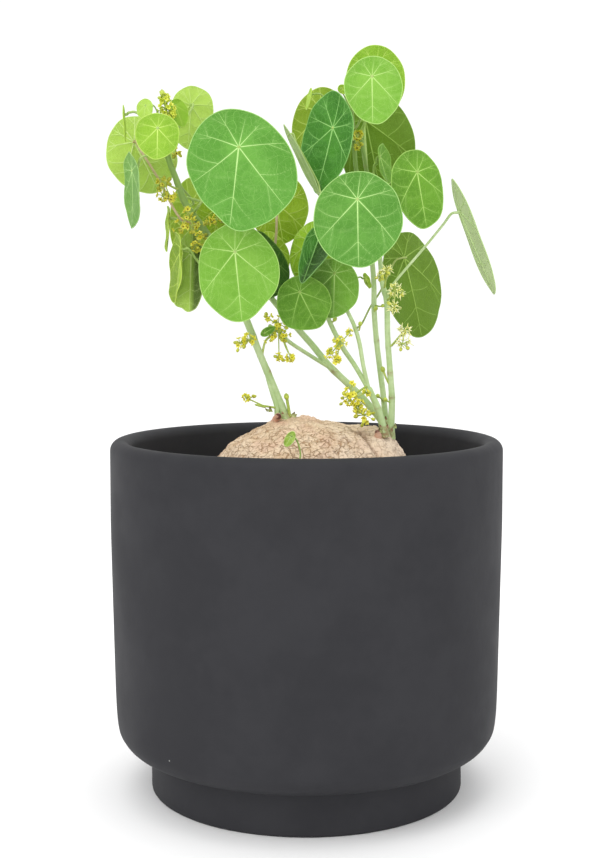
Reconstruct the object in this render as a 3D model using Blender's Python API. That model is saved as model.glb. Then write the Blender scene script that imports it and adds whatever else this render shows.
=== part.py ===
"""Potted stephania: a broad round pot of dark ceramic, soil, a fissured caudex, five stems,
round leaves held on petioles that meet the blade inside its edge, and small yellow umbels.

Lengths are in millimetres here and in metres in the mesh. +Z is up, the origin is the middle
of the foot, and the viewer looks along +Y.
"""

import math
from collections import namedtuple

import bmesh
import bpy
import numpy as np
from mathutils import Vector

MM = 0.001
SEGMENTS = 48

# Pot
POT_HEIGHT = 135.3
RIM_RADIUS = 75.0
RIM_INNER_RADIUS = 67.2
FOOT_RADIUS = 60.4
FOOT_HEIGHT = 16.7
FLOOR_THICKNESS = 9.0

# Soil
SOIL_TOP = 112.0
SOIL_GAP = 0.35

# Caudex: a flattened dome whose widest level is the soil's surface
CAUDEX_CENTRE = (2.0, 0.0)
CAUDEX_HALF_WIDTH = 42.0
CAUDEX_HALF_DEPTH = 38.0
CAUDEX_HEIGHT = 29.0
CAUDEX_BURIED = 20.0
CAUDEX_SQUARENESS = 2.4
# Knobs, notch and nodules on the dome: x, y, rise and spread
CAUDEX_BUMPS = [
    (-8.0, -2.0, 3.0, 7.0),
    (29.0, 0.0, 3.8, 5.5),
    (21.5, -2.0, -1.6, 2.2),
    (2.4, 0.0, 2.6, 1.7),
    (-22.0, -14.0, 1.2, 6.0),
    (10.0, -20.0, 1.4, 7.0),
    (-4.0, 18.0, 1.6, 8.0),
]

# Leaves
BLADE_THICKNESS = 0.8
PETIOLE_RADIUS = 0.5
PETIOLE_GAP = 0.2

# Florets
FLORET_RADIUS = 0.95
GOLDEN_ANGLE = math.pi * (3 - math.sqrt(5))

Finish = namedtuple("Finish", "name colour roughness metallic")
CERAMIC = Finish("dark_ceramic", (0.058, 0.060, 0.066), 0.6, 0.0)
SOIL = Finish("soil", (0.045, 0.033, 0.024), 0.95, 0.0)
BARK = Finish("caudex_bark", (0.62, 0.44, 0.28), 0.85, 0.0)
STEM = Finish("stem_green", (0.36, 0.52, 0.26), 0.6, 0.0)
LEAF = Finish("leaf_green", (0.20, 0.42, 0.08), 0.5, 0.0)
PETAL = Finish("flower_yellow", (0.70, 0.62, 0.08), 0.55, 0.0)

# A branch is a row of points on its axis: x, y, z and radius.
STEM_A = [
    (-7.6, -3.0, 144.35, 1.75),
    (-12.3, -3.0, 155.7, 1.65),
    (-17.3, -4.0, 168.0, 1.5),
    (-22.7, -5.0, 180.5, 1.45),
    (-28.4, -6.0, 194.5, 1.4),
    (-33.6, -7.0, 206.5, 1.4),
    (-39.2, -8.0, 215.5, 1.35),
    (-45.0, -8.0, 223.5, 1.25),
    (-48.8, -8.0, 233.5, 1.15),
    (-51.6, -9.0, 241.5, 1.0),
    (-53.5, -9.0, 253.0, 0.85),
]
STEM_B = [
    (29.5, 1.5, 141.0, 1.4),
    (25.0, 3.0, 146.5, 1.4),
    (19.5, 4.0, 152.5, 1.35),
    (9.0, 5.0, 162.5, 1.3),
    (2.1, 6.0, 170.8, 1.25),
    (-4.8, 7.0, 178.5, 1.2),
    (-13.0, 8.0, 188.0, 1.15),
    (-20.0, 8.0, 197.5, 1.1),
    (-23.5, 6.0, 211.0, 1.05),
    (-25.0, 2.0, 226.0, 0.95),
]
STEM_B_BRANCH = [
    (9.0, 5.0, 162.0, 0.8),
    (1.0, 3.0, 167.0, 0.75),
    (-6.5, 1.0, 172.0, 0.75),
    (-10.0, 0.0, 175.5, 0.7),
    (-14.5, 0.0, 178.5, 0.65),
]
STEM_C = [
    (29.2, -7.0, 139.2, 1.4),
    (27.1, -6.0, 147.0, 1.3),
    (23.5, -4.5, 155.0, 1.2),
]
STEM_C_LEFT = [
    (23.5, -4.5, 154.5, 0.95),
    (18.5, -3.0, 163.0, 0.9),
    (13.5, -1.5, 170.5, 0.95),
    (8.5, 0.0, 180.5, 0.9),
    (5.0, 0.0, 190.0, 0.85),
    (2.5, 0.0, 199.5, 0.8),
]
STEM_C_RIGHT = [
    (23.5, -4.5, 154.5, 0.85),
    (21.5, -5.0, 163.5, 0.8),
    (20.0, -4.5, 172.0, 0.8),
    (18.0, -4.0, 178.5, 0.75),
    (15.0, -3.0, 185.0, 0.75),
    (12.5, -2.0, 192.0, 0.7),
]
STEM_D = [
    (31.0, 6.5, 138.3, 1.25),
    (30.0, 6.0, 149.5, 1.15),
    (28.5, 6.0, 161.0, 1.1),
    (27.0, 5.0, 172.5, 1.05),
    (26.0, 4.0, 184.0, 1.05),
    (25.8, 3.0, 194.0, 1.0),
    (24.8, 2.0, 205.0, 0.95),
    (22.8, 2.0, 220.5, 0.9),
    (19.0, 2.0, 236.5, 0.85),
    (18.0, 2.0, 248.5, 0.85),
    (17.0, 2.0, 259.5, 0.75),
]
STEM_E = [
    (32.3, -2.0, 138.4, 1.4),
    (32.7, -1.5, 150.0, 1.25),
    (31.9, -1.0, 161.5, 1.15),
    (31.0, 0.0, 174.5, 1.1),
    (30.6, 0.0, 187.5, 1.1),
    (28.9, 2.0, 194.8, 0.95),
    (28.0, 6.0, 207.0, 0.9),
    (26.5, 8.0, 220.5, 0.85),
    (23.0, 9.0, 238.0, 0.8),
    (21.0, 9.0, 250.0, 0.7),
]
BRANCHES = {
    "A": STEM_A,
    "B": STEM_B,
    "b": STEM_B_BRANCH,
    "C": STEM_C_LEFT,
    "c": STEM_C_RIGHT,
    "D": STEM_D,
    "E": STEM_E,
}

# A leaf. hub: where the petiole meets the blade. length, width: the blade's size.
# roll: how far the tip swings to the right of straight down. turn: how far the face turns to the
# right of the viewer. tilt: how far the face tips up. share: the hub's place along the length.
# egg: how much wider the base is than the tip. off: how far the blade's middle line sits from the
# hub, as a share of the width. point: how far the tip is drawn out. cup: how far the edge stands
# forward of the hub. fold: the angle each half is folded forward. wave: height of the edge's waves.
# branch, place: the stem that carries it, and the share of the stem's length. via: points on the
# petiole. Angles are in degrees.
Leaf = namedtuple(
    "Leaf",
    "name hub length width roll turn tilt share egg off point cup fold wave branch place via",
)


def leaf(name, hub, length, width, branch, place, **more):
    rest = {
        "roll": 0,
        "turn": 0,
        "tilt": 0,
        "share": 0.3,
        "egg": 0.0,
        "off": 0.0,
        "point": 0.03,
        "cup": 0.04 * length,
        "fold": 0,
        "wave": 0.018 * length,
        "via": [],
    }
    rest.update(more)
    return Leaf(name=name, hub=hub, length=length, width=width, branch=branch, place=place, **rest)


LEAVES = [
    leaf("leaf_01", (-67.5, -12, 256), 13, 9.5, "A", 0.97, turn=-84, roll=5, share=0.27,
         via=[(-64.5, -12, 257), (-61.5, -11.5, 255)]),
    leaf("leaf_02", (-59, -15, 259), 7.2, 6.6, "A", 1.0, roll=-8, turn=-20, share=0.33,
         via=[(-56, -12, 259)]),
    leaf("leaf_03", (-65, -2, 247), 28, 28.5, "A", 0.62, roll=24, turn=-150, share=0.32, off=-0.05,
         via=[(-61.5, -7, 243), (-54.5, -9.5, 232), (-47.5, -11.5, 219)]),
    leaf("leaf_04", (-53, -30, 249), 16.1, 15.5, "A", 0.93, roll=1, share=0.32, egg=0.12,
         off=-0.03, point=0.05),
    leaf("leaf_05", (-64, -18, 235), 25.5, 18, "A", 0.9, roll=2, turn=-66, share=0.27, off=0.03,
         point=0.09, via=[(-60, -18, 240)]),
    leaf("leaf_06", (-45, 15, 263), 25.3, 18.4, "A", 0.95, roll=-15, turn=-150, tilt=-15, share=0.31,
         egg=0.04, off=-0.1, point=0.0, via=[(-46, 6, 257)]),
    leaf("leaf_07", (-49, -4, 260.5), 9.8, 7.3, "A", 0.96, roll=18, turn=20, share=0.23, egg=0.06,
         off=0.05, point=0.1),
    leaf("leaf_08", (-24, -33, 242), 44.6, 38.6, "A", 0.66, roll=24, share=0.32, off=-0.09,
         point=0.0),
    leaf("leaf_09", (-11.5, 19, 225.5), 27.3, 24.3, "B", 0.72, roll=8, turn=165, share=0.46,
         via=[(-11.5, 8.5, 220), (-12, 6.5, 210)]),
    leaf("leaf_10", (-46, 17, 225), 31.3, 18.2, "A", 0.78, roll=-6, turn=-145, share=0.35,
         off=-0.09, point=0.0),
    leaf("leaf_11", (-33.5, 5, 223.5), 19, 17, "A", 0.72, roll=-10, turn=-160, share=0.4),
    leaf("leaf_12", (-51.5, -8, 218.5), 15.5, 10.5, "A", 0.6, roll=-3, turn=-79, share=0.29, egg=0.1,
         off=-0.05, point=0.1),
    leaf("leaf_13", (-43, -12, 205.5), 29, 11, "A", 0.45, roll=-1, turn=-10, share=0.27,
         egg=-0.04),
    leaf("leaf_14", (-46, -20, 206.5), 25, 14, "A", 0.35, roll=-3, turn=-68, share=0.25,
         egg=-0.17, off=-0.25, point=0.04, via=[(-43, -19, 206.5), (-39.5, -16, 201.5)]),
    leaf("leaf_15", (-26, -24, 205.5), 34.2, 29.4, "A", 0.4, roll=5, share=0.33, egg=-0.07,
         off=0.01, point=0.06),
    leaf("leaf_16", (-17, 2, 206.5), 26, 18, "B", 0.82, roll=14, turn=15, share=0.31, egg=-0.3,
         off=-0.05, point=0.0),
    leaf("leaf_17", (-14, 16.5, 210.5), 19, 14, "B", 0.78, roll=14, turn=165, share=0.24, egg=-0.12,
         off=0.08, point=0.0),
    leaf("leaf_18", (2, 8, 210.5), 24, 17, "C", 1.0, roll=-11, turn=175, share=0.34, egg=-0.09,
         off=-0.06),
    leaf("leaf_19", (5.3, -7, 213.5), 27, 13, "C", 0.92, roll=-23, turn=-25, tilt=28, share=0.21,
         egg=0.11, off=0.12, point=0.1, fold=24),
    leaf("leaf_20", (-2.5, -12, 191), 20.5, 20.7, "C", 0.75, roll=30, share=0.3, egg=-0.09,
         off=-0.04, point=0.06),
    leaf("leaf_21", (10.5, -7, 198), 22.5, 19.3, "c", 1.0, share=0.25, egg=0.03, off=-0.02),
    leaf("leaf_22", (18, -36, 223.5), 31.1, 31.4, "D", 0.62, roll=7, share=0.32, egg=-0.11,
         point=0.08),
    leaf("leaf_23", (40.5, -19, 234.5), 26.7, 21.4, "E", 0.74, roll=10, turn=25, share=0.31, egg=-0.05,
         off=-0.06, point=0.06),
    leaf("leaf_24", (38.5, 24, 204.5), 39.2, 31.3, "c", 0.56, roll=12, turn=-140, share=0.26,
         egg=-0.07, off=-0.08, point=0.07,
         via=[(35, 17, 203.5), (32, 11.5, 198), (28.6, 9.5, 191.3), (24.7, 8, 185.3), (21.2, 1.5, 179)]),
    leaf("leaf_25", (57.5, -8, 221), 42.2, 13, "E", 0.48, roll=21, turn=105, share=0.29,
         egg=-0.08, off=-0.3, point=0.09,
         via=[(54, -8, 220), (51, -8, 216), (44.5, -7, 208), (33.5, -5, 195)]),
    leaf("leaf_26", (23.5, -24, 268), 22.5, 21.2, "D", 0.93, roll=8, share=0.32, point=0.07,
         via=[(22, -14.5, 260), (19.5, -11, 253.5)]),
    leaf("leaf_27", (26, -6, 274.5), 26, 22, "E", 1.0, roll=3, share=0.29, off=-0.03, point=0.0),
    leaf("leaf_28", (9.5, -14, 251), 34, 24, "D", 0.9, roll=-9, turn=-40, share=0.38, off=-0.07,
         point=0.1),
    leaf("leaf_29", (6, 12, 260), 31, 23.1, "D", 0.95, roll=-2, turn=175, share=0.31,
         egg=-0.07, off=0.0),
    leaf("leaf_30", (1, -6, 264.5), 8, 5.2, "D", 0.97, roll=-12, turn=-74, share=0.27,
         via=[(4, -5.5, 264.5), (6.5, -5, 263.5)]),
    leaf("leaf_31", (-6.5, -17, 248), 27, 8.5, "D", 0.66, roll=27, turn=-68, share=0.16,
         egg=-0.25, off=-0.08, point=0.07,
         via=[(-3.6, -16.8, 245), (0.4, -17, 238), (4.1, -17.2, 231), (7.4, -17, 223.5)]),
    leaf("leaf_32", (13, -2, 267), 3.8, 3.4, "D", 1.0, roll=58, share=0.34),
    leaf("leaf_33", (23.5, 27, 258.5), 40.8, 29.6, "E", 0.9, roll=5, turn=170, share=0.25, egg=-0.08,
         off=-0.13, point=0.0),
    leaf("leaf_34", (28, 0, 242), 14.8, 9.5, "E", 0.75, roll=10, turn=58, share=0.32, off=0.22,
         via=[(26.5, 1, 239.5), (25.5, 1, 236.5)]),
    leaf("leaf_35", (22.5, -4, 196.5), 6, 4.8, "c", 1.0, roll=22, turn=60, share=0.3,
         via=[(19.5, -5, 196.5)]),
    leaf("leaf_36", (-16, -8, 175.5), 5.4, 3.1, "b", 0.97, roll=120, share=0.25, point=0.16),
    leaf("leaf_37", (-5.4, -36, 139.5), 6, 4.2, "caudex", 0, roll=-20, share=0.3,
         via=[(-3.4, -34, 137.5), (-2.2, -34.6, 132.5)]),
]
SPROUT_FOOT = (-3.5, -35.0, 127.2)

# A flower cluster. lumps: its umbels, each as the middle (x, y, z), its radius and how many florets.
# branch, place: where its peduncle leaves the stem. bud: height of a bud above the first umbel.
# via: points on the peduncle.
Cluster = namedtuple("Cluster", "name lumps branch place bud via")


def cluster(name, lumps, branch, place, bud=0, via=()):
    return Cluster(name, lumps, branch, place, bud, list(via))


CLUSTERS = [
    cluster("flowers_01", [(-52, -9, 258.5, 2.9, 5), (-50.3, -9, 256, 2, 3), (-52.5, -9, 262, 1.6, 3)],
            "A", 1.0, bud=5.8),
    cluster("flowers_02", [(-48.3, -10, 242.8, 1.7, 4)], "A", 0.85),
    cluster("flowers_03", [(-52.4, -14, 231, 2.3, 4), (-53, -14, 226.3, 2, 4), (-50, -14, 226, 1.8, 3)],
            "A", 0.76),
    cluster("flowers_04", [(-43.6, -15, 220, 2.3, 4), (-42, -15, 215.5, 2.1, 4),
                           (-46.3, -15, 215, 2.4, 4)], "A", 0.66),
    cluster("flowers_05", [(-39, -16, 211.4, 1.6, 3), (-40.6, -16, 207.8, 1.9, 4)], "A", 0.55),
    cluster("flowers_06", [(-33, -11, 218.4, 1.7, 3), (-36.6, -11.5, 216.6, 1.6, 3)], "A", 0.6),
    cluster("flowers_07", [(-21.6, -12, 173, 2.2, 5), (-25, -12, 172, 1.9, 4)], "A", 0.25),
    cluster("flowers_08", [(-10.6, -5, 179, 2.5, 5), (-13.6, -5, 174, 2.2, 4), (-9, -5, 174.6, 2.6, 5),
                           (-7.4, -5, 168, 2.1, 4), (-14.6, -5, 181.5, 1.4, 2)], "b", 0.8),
    cluster("flowers_09", [(-22, -8, 151.5, 1.7, 4), (-19.6, -8, 150.4, 1, 1)], "A", 0.03,
            via=[(-15.5, -7, 148)]),
    cluster("flowers_10", [(12.3, -8, 172, 2.2, 4), (9, -8, 168, 2, 4), (11.6, -8, 165.6, 1.5, 3),
                           (16.3, -8, 176, 1.4, 2)], "C", 0.42),
    cluster("flowers_11", [(16, -13, 151.8, 2.8, 6), (19.2, -13, 148.6, 2.5, 5), (21.4, -13, 145, 2.7, 5)],
            "c", 0.02),
    cluster("flowers_12", [(33.2, -7, 191.4, 2.6, 5), (32.6, -7, 185.4, 1.7, 4)], "E", 0.45),
    cluster("flowers_13", [(37, -5, 176.5, 2, 4), (36.4, -5, 171.5, 2.2, 4)], "E", 0.3),
    cluster("flowers_14", [(29.6, -4, 198, 2.4, 4)], "E", 0.52),
    cluster("flowers_15", [(19.4, -3, 249.8, 1.9, 4), (19.2, -3, 245.4, 1.5, 2)], "D", 0.88),
]

# Buds that stand on a stem: branch, share of its length, and the bud's middle
STEM_BUDS = {
    "stem_a": [("A", 0.06, (-5.2, -3.5, 152.0))],
    "stem_c": [("C", 0.6, (10.6, -0.5, 180.0)), ("c", 0.62, (20.2, -6.5, 178.5))],
    "stem_d": [("D", 0.17, (30.2, 3.4, 162.5)), ("D", 0.37, (26.4, 1.8, 184.0))],
}


def clear_scene():
    for obj in list(bpy.data.objects):
        bpy.data.objects.remove(obj, do_unlink=True)


def make_material(finish):
    found = bpy.data.materials.get(finish.name)
    if found:
        return found
    material = bpy.data.materials.new(finish.name)
    material.use_nodes = True
    shader = material.node_tree.nodes["Principled BSDF"]
    shader.inputs["Base Color"].default_value = (*finish.colour, 1.0)
    shader.inputs["Roughness"].default_value = finish.roughness
    shader.inputs["Metallic"].default_value = finish.metallic
    material.diffuse_color = (*finish.colour, 1.0)
    return material


def signed_volume(points, faces):
    total = 0.0
    for face in faces:
        first = points[face[0]]
        for second, third in zip(face[1:], face[2:]):
            total += np.dot(first, np.cross(points[second], points[third]))
    return total


def make_object(name, points, faces, finish, sharp_degrees=50):
    """A mesh object from points in millimetres, its faces turned outward."""
    points = np.asarray(points, float)
    if signed_volume(points, faces) < 0:
        faces = [tuple(reversed(face)) for face in faces]
    mesh = bpy.data.meshes.new(name)
    mesh.from_pydata([Vector(p) * MM for p in points], [], faces)
    mesh.update()
    mesh.materials.append(make_material(finish))
    obj = bpy.data.objects.new(name, mesh)
    bpy.context.scene.collection.objects.link(obj)
    mesh.shade_smooth()
    mesh.set_sharp_from_angle(angle=math.radians(sharp_degrees))
    return obj


def grid_faces(rings, count):
    """Quads between rings of the same count, which follow one another."""
    faces = []
    for ring in range(rings - 1):
        for i in range(count):
            j = (i + 1) % count
            a = ring * count
            b = a + count
            faces.append((a + i, a + j, b + j, b + i))
    return faces


def lathe(profile, count=SEGMENTS):
    """Closed solid of revolution from (radius, z) pairs whose ends lie on the axis."""
    angles = np.arange(count) * 2 * math.pi / count
    points = []
    for radius, z in profile[1:-1]:
        points += [(radius * math.cos(t), radius * math.sin(t), z) for t in angles]
    faces = grid_faces(len(profile) - 2, count)
    first = len(points)
    points += [(0, 0, profile[0][1]), (0, 0, profile[-1][1])]
    last_ring = (len(profile) - 3) * count
    for i in range(count):
        j = (i + 1) % count
        faces.append((first, j, i))
        faces.append((first + 1, last_ring + i, last_ring + j))
    return points, faces


def arc(centre, radius, start, end, steps):
    """Points on an arc in the profile plane, in degrees."""
    angles = np.radians(np.linspace(start, end, steps))
    return [(centre[0] + radius * math.cos(t), centre[1] + radius * math.sin(t)) for t in angles]


def pot_outer_profile():
    foot = [(0, 0), (FOOT_RADIUS - 1.0, 0), (FOOT_RADIUS, 1.0), (FOOT_RADIUS, FOOT_HEIGHT)]
    body = [(61.5, FOOT_HEIGHT), (67.5, 18.0), (71.5, 21.5), (73.4, 28.0), (74.2, 50.0)]
    body += [(RIM_RADIUS, 105.0)]
    lip_radius = (RIM_RADIUS - RIM_INNER_RADIUS) / 2
    middle = (RIM_RADIUS - lip_radius, POT_HEIGHT - lip_radius)
    return foot + body + arc(middle, lip_radius, 0, 180, 6)


def pot_inner_profile():
    lip_radius = (RIM_RADIUS - RIM_INNER_RADIUS) / 2
    return [
        (RIM_INNER_RADIUS, POT_HEIGHT - lip_radius),
        (RIM_INNER_RADIUS - 0.2, SOIL_TOP + 2.0),
        (RIM_INNER_RADIUS - 0.8, 50.0),
        (64.5, 28.0),
        (52.0, FLOOR_THICKNESS + 3.0),
        (49.0, FLOOR_THICKNESS),
    ]


def add_pot():
    profile = pot_outer_profile() + pot_inner_profile()[1:] + [(0, FLOOR_THICKNESS)]
    points, faces = lathe(profile)
    return make_object("pot", points, faces, CERAMIC, 35)


def caudex_rise(x, y):
    """Height that the knobs and nodules add at a point of the dome."""
    return sum(
        rise * math.exp(-((x - bx) ** 2 + (y - by) ** 2) / (2 * spread**2))
        for bx, by, rise, spread in CAUDEX_BUMPS
    )


def caudex_relief(x, y):
    """Plates and fissures of the bark, as a height along the surface's normal."""
    first = math.sin(0.42 * x + 1.3 * math.sin(0.21 * y)) * math.sin(0.38 * y + 0.9)
    second = math.sin(0.81 * x - 0.5 * y + 0.7) * math.sin(0.72 * y + 0.33 * x)
    return 0.45 * first + 0.25 * second


def caudex_ring(level, count=SEGMENTS):
    """Points of the caudex at a level: 0 is the top, 1 the widest ring, 2 the buried bottom."""
    turn = level * math.pi / 2
    power = 2 / CAUDEX_SQUARENESS if level < 1 else 0.8
    out = abs(math.sin(turn)) ** power
    up = abs(math.cos(turn)) ** power
    points = []
    for i in range(count):
        t = 2 * math.pi * i / count
        x = CAUDEX_HALF_WIDTH * out * math.cos(t)
        y = CAUDEX_HALF_DEPTH * out * math.sin(t)
        if level < 1:
            fade = min(1.0, 4 * (1 - level))
            relief = caudex_relief(x, y) * fade
            z = SOIL_TOP + CAUDEX_HEIGHT * up
            x += relief * out * math.cos(t)
            y += relief * out * math.sin(t)
            x += CAUDEX_CENTRE[0]
            y += CAUDEX_CENTRE[1]
            z += caudex_rise(x, y) * fade + relief * up
        else:
            z = SOIL_TOP - CAUDEX_BURIED * up
            x += CAUDEX_CENTRE[0]
            y += CAUDEX_CENTRE[1]
        points.append((x, y, z))
    return points


def caudex_levels():
    top = [0.06, 0.13, 0.2, 0.27, 0.34, 0.41, 0.48, 0.55, 0.62, 0.69, 0.76, 0.83, 0.9, 0.96]
    return top, [1.0, 1.25, 1.5, 1.75]


def add_caudex():
    top, buried = caudex_levels()
    points = []
    for level in top + buried:
        points += caudex_ring(level)
    count = SEGMENTS
    rings = len(top) + len(buried)
    faces = grid_faces(rings, count)
    peak = len(points)
    cx, cy = CAUDEX_CENTRE
    points.append((cx, cy, SOIL_TOP + CAUDEX_HEIGHT + caudex_rise(cx, cy) + caudex_relief(0, 0)))
    points.append((cx, cy, SOIL_TOP - CAUDEX_BURIED))
    last = (rings - 1) * count
    for i in range(count):
        j = (i + 1) % count
        faces.append((peak, j, i))
        faces.append((peak + 1, last + i, last + j))
    return make_object("caudex", points, faces, BARK, 60)


def add_soil():
    """Fills the pot to SOIL_TOP and leaves a hollow that fits the buried half of the caudex."""
    count = SEGMENTS
    angles = np.arange(count) * 2 * math.pi / count
    gap = SOIL_GAP
    walls = pot_inner_profile()
    rings = []
    outside = [
        (walls[5][0] - 0.5, FLOOR_THICKNESS + gap),
        (walls[4][0] - gap - 0.3, FLOOR_THICKNESS + 3.5),
        (walls[3][0] - gap - 0.3, 28.2),
        (walls[2][0] - gap, 50.0),
        (walls[1][0] - gap, SOIL_TOP - 1.0),
        (walls[1][0] - gap - 0.8, SOIL_TOP),
    ]
    for radius, z in outside:
        rings.append([(radius * math.cos(t), radius * math.sin(t), z) for t in angles])
    rings.append([
        (54 * math.cos(t), 54 * math.sin(t), SOIL_TOP + 0.6 * math.sin(5 * t)) for t in angles
    ])
    # The hollow is the buried half, half a millimetre larger all round.
    for level in (1.0, 1.25, 1.5, 1.75):
        ring = []
        for i, (x, y, z) in enumerate(caudex_ring(level)):
            out = 0.5 * math.sin(level * math.pi / 2) + 0.1
            x += out * math.cos(angles[i])
            y += out * math.sin(angles[i])
            z -= 0.6 if level > 1 else 0.0
            ring.append((x, y, z))
        rings.append(ring)
    points = [p for ring in rings for p in ring]
    faces = grid_faces(len(rings), count)
    under = len(points)
    points.append((0, 0, FLOOR_THICKNESS + gap))
    points.append((*CAUDEX_CENTRE, SOIL_TOP - CAUDEX_BURIED - 0.6))
    last = (len(rings) - 1) * count
    for i in range(count):
        j = (i + 1) % count
        faces.append((under, j, i))
        faces.append((under + 1, last + i, last + j))
    return make_object("soil", points, faces, SOIL, 50)


def smooth_path(points, steps, first_tangent=None):
    """Points on a smooth curve through the given ones, with steps to each stretch."""
    points = np.asarray(points, float)
    tangents = np.empty_like(points)
    tangents[1:-1] = (points[2:] - points[:-2]) / 2
    tangents[0] = points[1] - points[0]
    tangents[-1] = points[-1] - points[-2]
    if first_tangent is not None:
        tangents[0] = np.asarray(first_tangent) * np.linalg.norm(points[1] - points[0])
    path = [points[0]]
    for k in range(len(points) - 1):
        for s in np.linspace(0, 1, steps + 1)[1:]:
            h0 = 2 * s**3 - 3 * s**2 + 1
            h1 = s**3 - 2 * s**2 + s
            h2 = -2 * s**3 + 3 * s**2
            h3 = s**3 - s**2
            path.append(
                h0 * points[k] + h1 * tangents[k] + h2 * points[k + 1] + h3 * tangents[k + 1]
            )
    return np.array(path)


def unit(vector):
    return np.asarray(vector, float) / np.linalg.norm(vector)


def tube_rings(path, radii, sides, across):
    """Rings of points round a path. across is a direction that the first point lies towards."""
    rings = []
    side = unit(across)
    for k, centre in enumerate(path):
        ahead = path[min(k + 1, len(path) - 1)] - path[max(k - 1, 0)]
        ahead = unit(ahead)
        side = unit(side - np.dot(side, ahead) * ahead)
        other = np.cross(ahead, side)
        ring = []
        for i in range(sides):
            t = 2 * math.pi * i / sides
            ring.append(centre + radii[k] * (math.cos(t) * side + math.sin(t) * other))
        rings.append(ring)
    return rings


def tube(path, radii, sides):
    rings = tube_rings(path, radii, sides, (0.9, 0.1, 0.4))
    points = [p for ring in rings for p in ring]
    faces = grid_faces(len(rings), sides)
    first = tuple(reversed(range(sides)))
    last = tuple(range(len(points) - sides, len(points)))
    return points, faces + [first, last]


def branch_curve(branch):
    """(points, radii) along the branch's axis, evenly in its rows."""
    rows = np.array(BRANCHES[branch] if isinstance(branch, str) else branch)
    path = smooth_path(rows, 2)
    return path[:, :3], path[:, 3]


def branch_at(branch, place):
    """(point, direction, radius) at a share of the branch's rows."""
    path, radii = branch_curve(branch)
    at = min(max(place, 0.0), 1.0) * (len(path) - 1)
    k = min(int(at), len(path) - 2)
    part = at - k
    point = path[k] * (1 - part) + path[k + 1] * part
    return point, unit(path[k + 1] - path[k]), radii[k] * (1 - part) + radii[k + 1] * part


def joint_on(branch, place, towards, radius):
    """Where something of this radius ends beside the branch, on the side of the given point."""
    point, ahead, stem_radius = branch_at(branch, place)
    out = np.asarray(towards, float) - point
    out = unit(out - np.dot(out, ahead) * ahead)
    if place >= 1.0:
        return point + unit(out + 2 * ahead) * (radius + PETIOLE_GAP)
    return point + out * (stem_radius + radius + PETIOLE_GAP)


def leaf_axes(row):
    """(across, tip, face) directions of a leaf."""
    roll, turn, tilt = np.radians([row.roll, row.turn, row.tilt])
    tip = np.array([math.sin(roll), 0, -math.cos(roll)])
    across = np.array([math.cos(roll), 0, math.sin(roll)])
    face = np.array([0, -1.0, 0])
    turned = face * math.cos(turn) + across * math.sin(turn)
    across = across * math.cos(turn) - face * math.sin(turn)
    tilted = turned * math.cos(tilt) - tip * math.sin(tilt)
    tip = tip * math.cos(tilt) + turned * math.sin(tilt)
    return across, tip, tilted


def leaf_edge(row, angle):
    """(u, v) of the blade's edge at an angle from the tip, measured round the blade's middle."""
    c = math.cos(angle)
    v = row.length * (0.5 - row.share) + row.length / 2 * c
    v += row.point * row.length * ((1 + c) / 2) ** 8
    u = row.width * (row.off + 0.5 * math.sin(angle) * (1 - row.egg * c))
    return u, v


def leaf_height(row, u, v, angle, share):
    """How far the blade stands forward of its hub at a share of the way to the edge."""
    rise = row.cup * share**2 + math.tan(math.radians(row.fold)) * abs(u)
    phase = row.hub[0] * 0.7 + row.hub[2] * 0.3
    return rise + row.wave * share**3 * math.sin(5 * angle + phase)


def annulus(outer, inner, outer_angles, inner_angles):
    """Triangles between two rings of different counts, both in order of angle."""
    faces = []
    i = j = 0
    while i < len(outer) or j < len(inner):
        a = outer_angles[i] if i < len(outer) else math.inf
        b = inner_angles[j] if j < len(inner) else math.inf
        here = outer[i % len(outer)]
        there = inner[j % len(inner)]
        if a <= b:
            i += 1
            faces.append((here, outer[i % len(outer)], there))
        else:
            j += 1
            faces.append((here, inner[j % len(inner)], there))
    return faces


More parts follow.
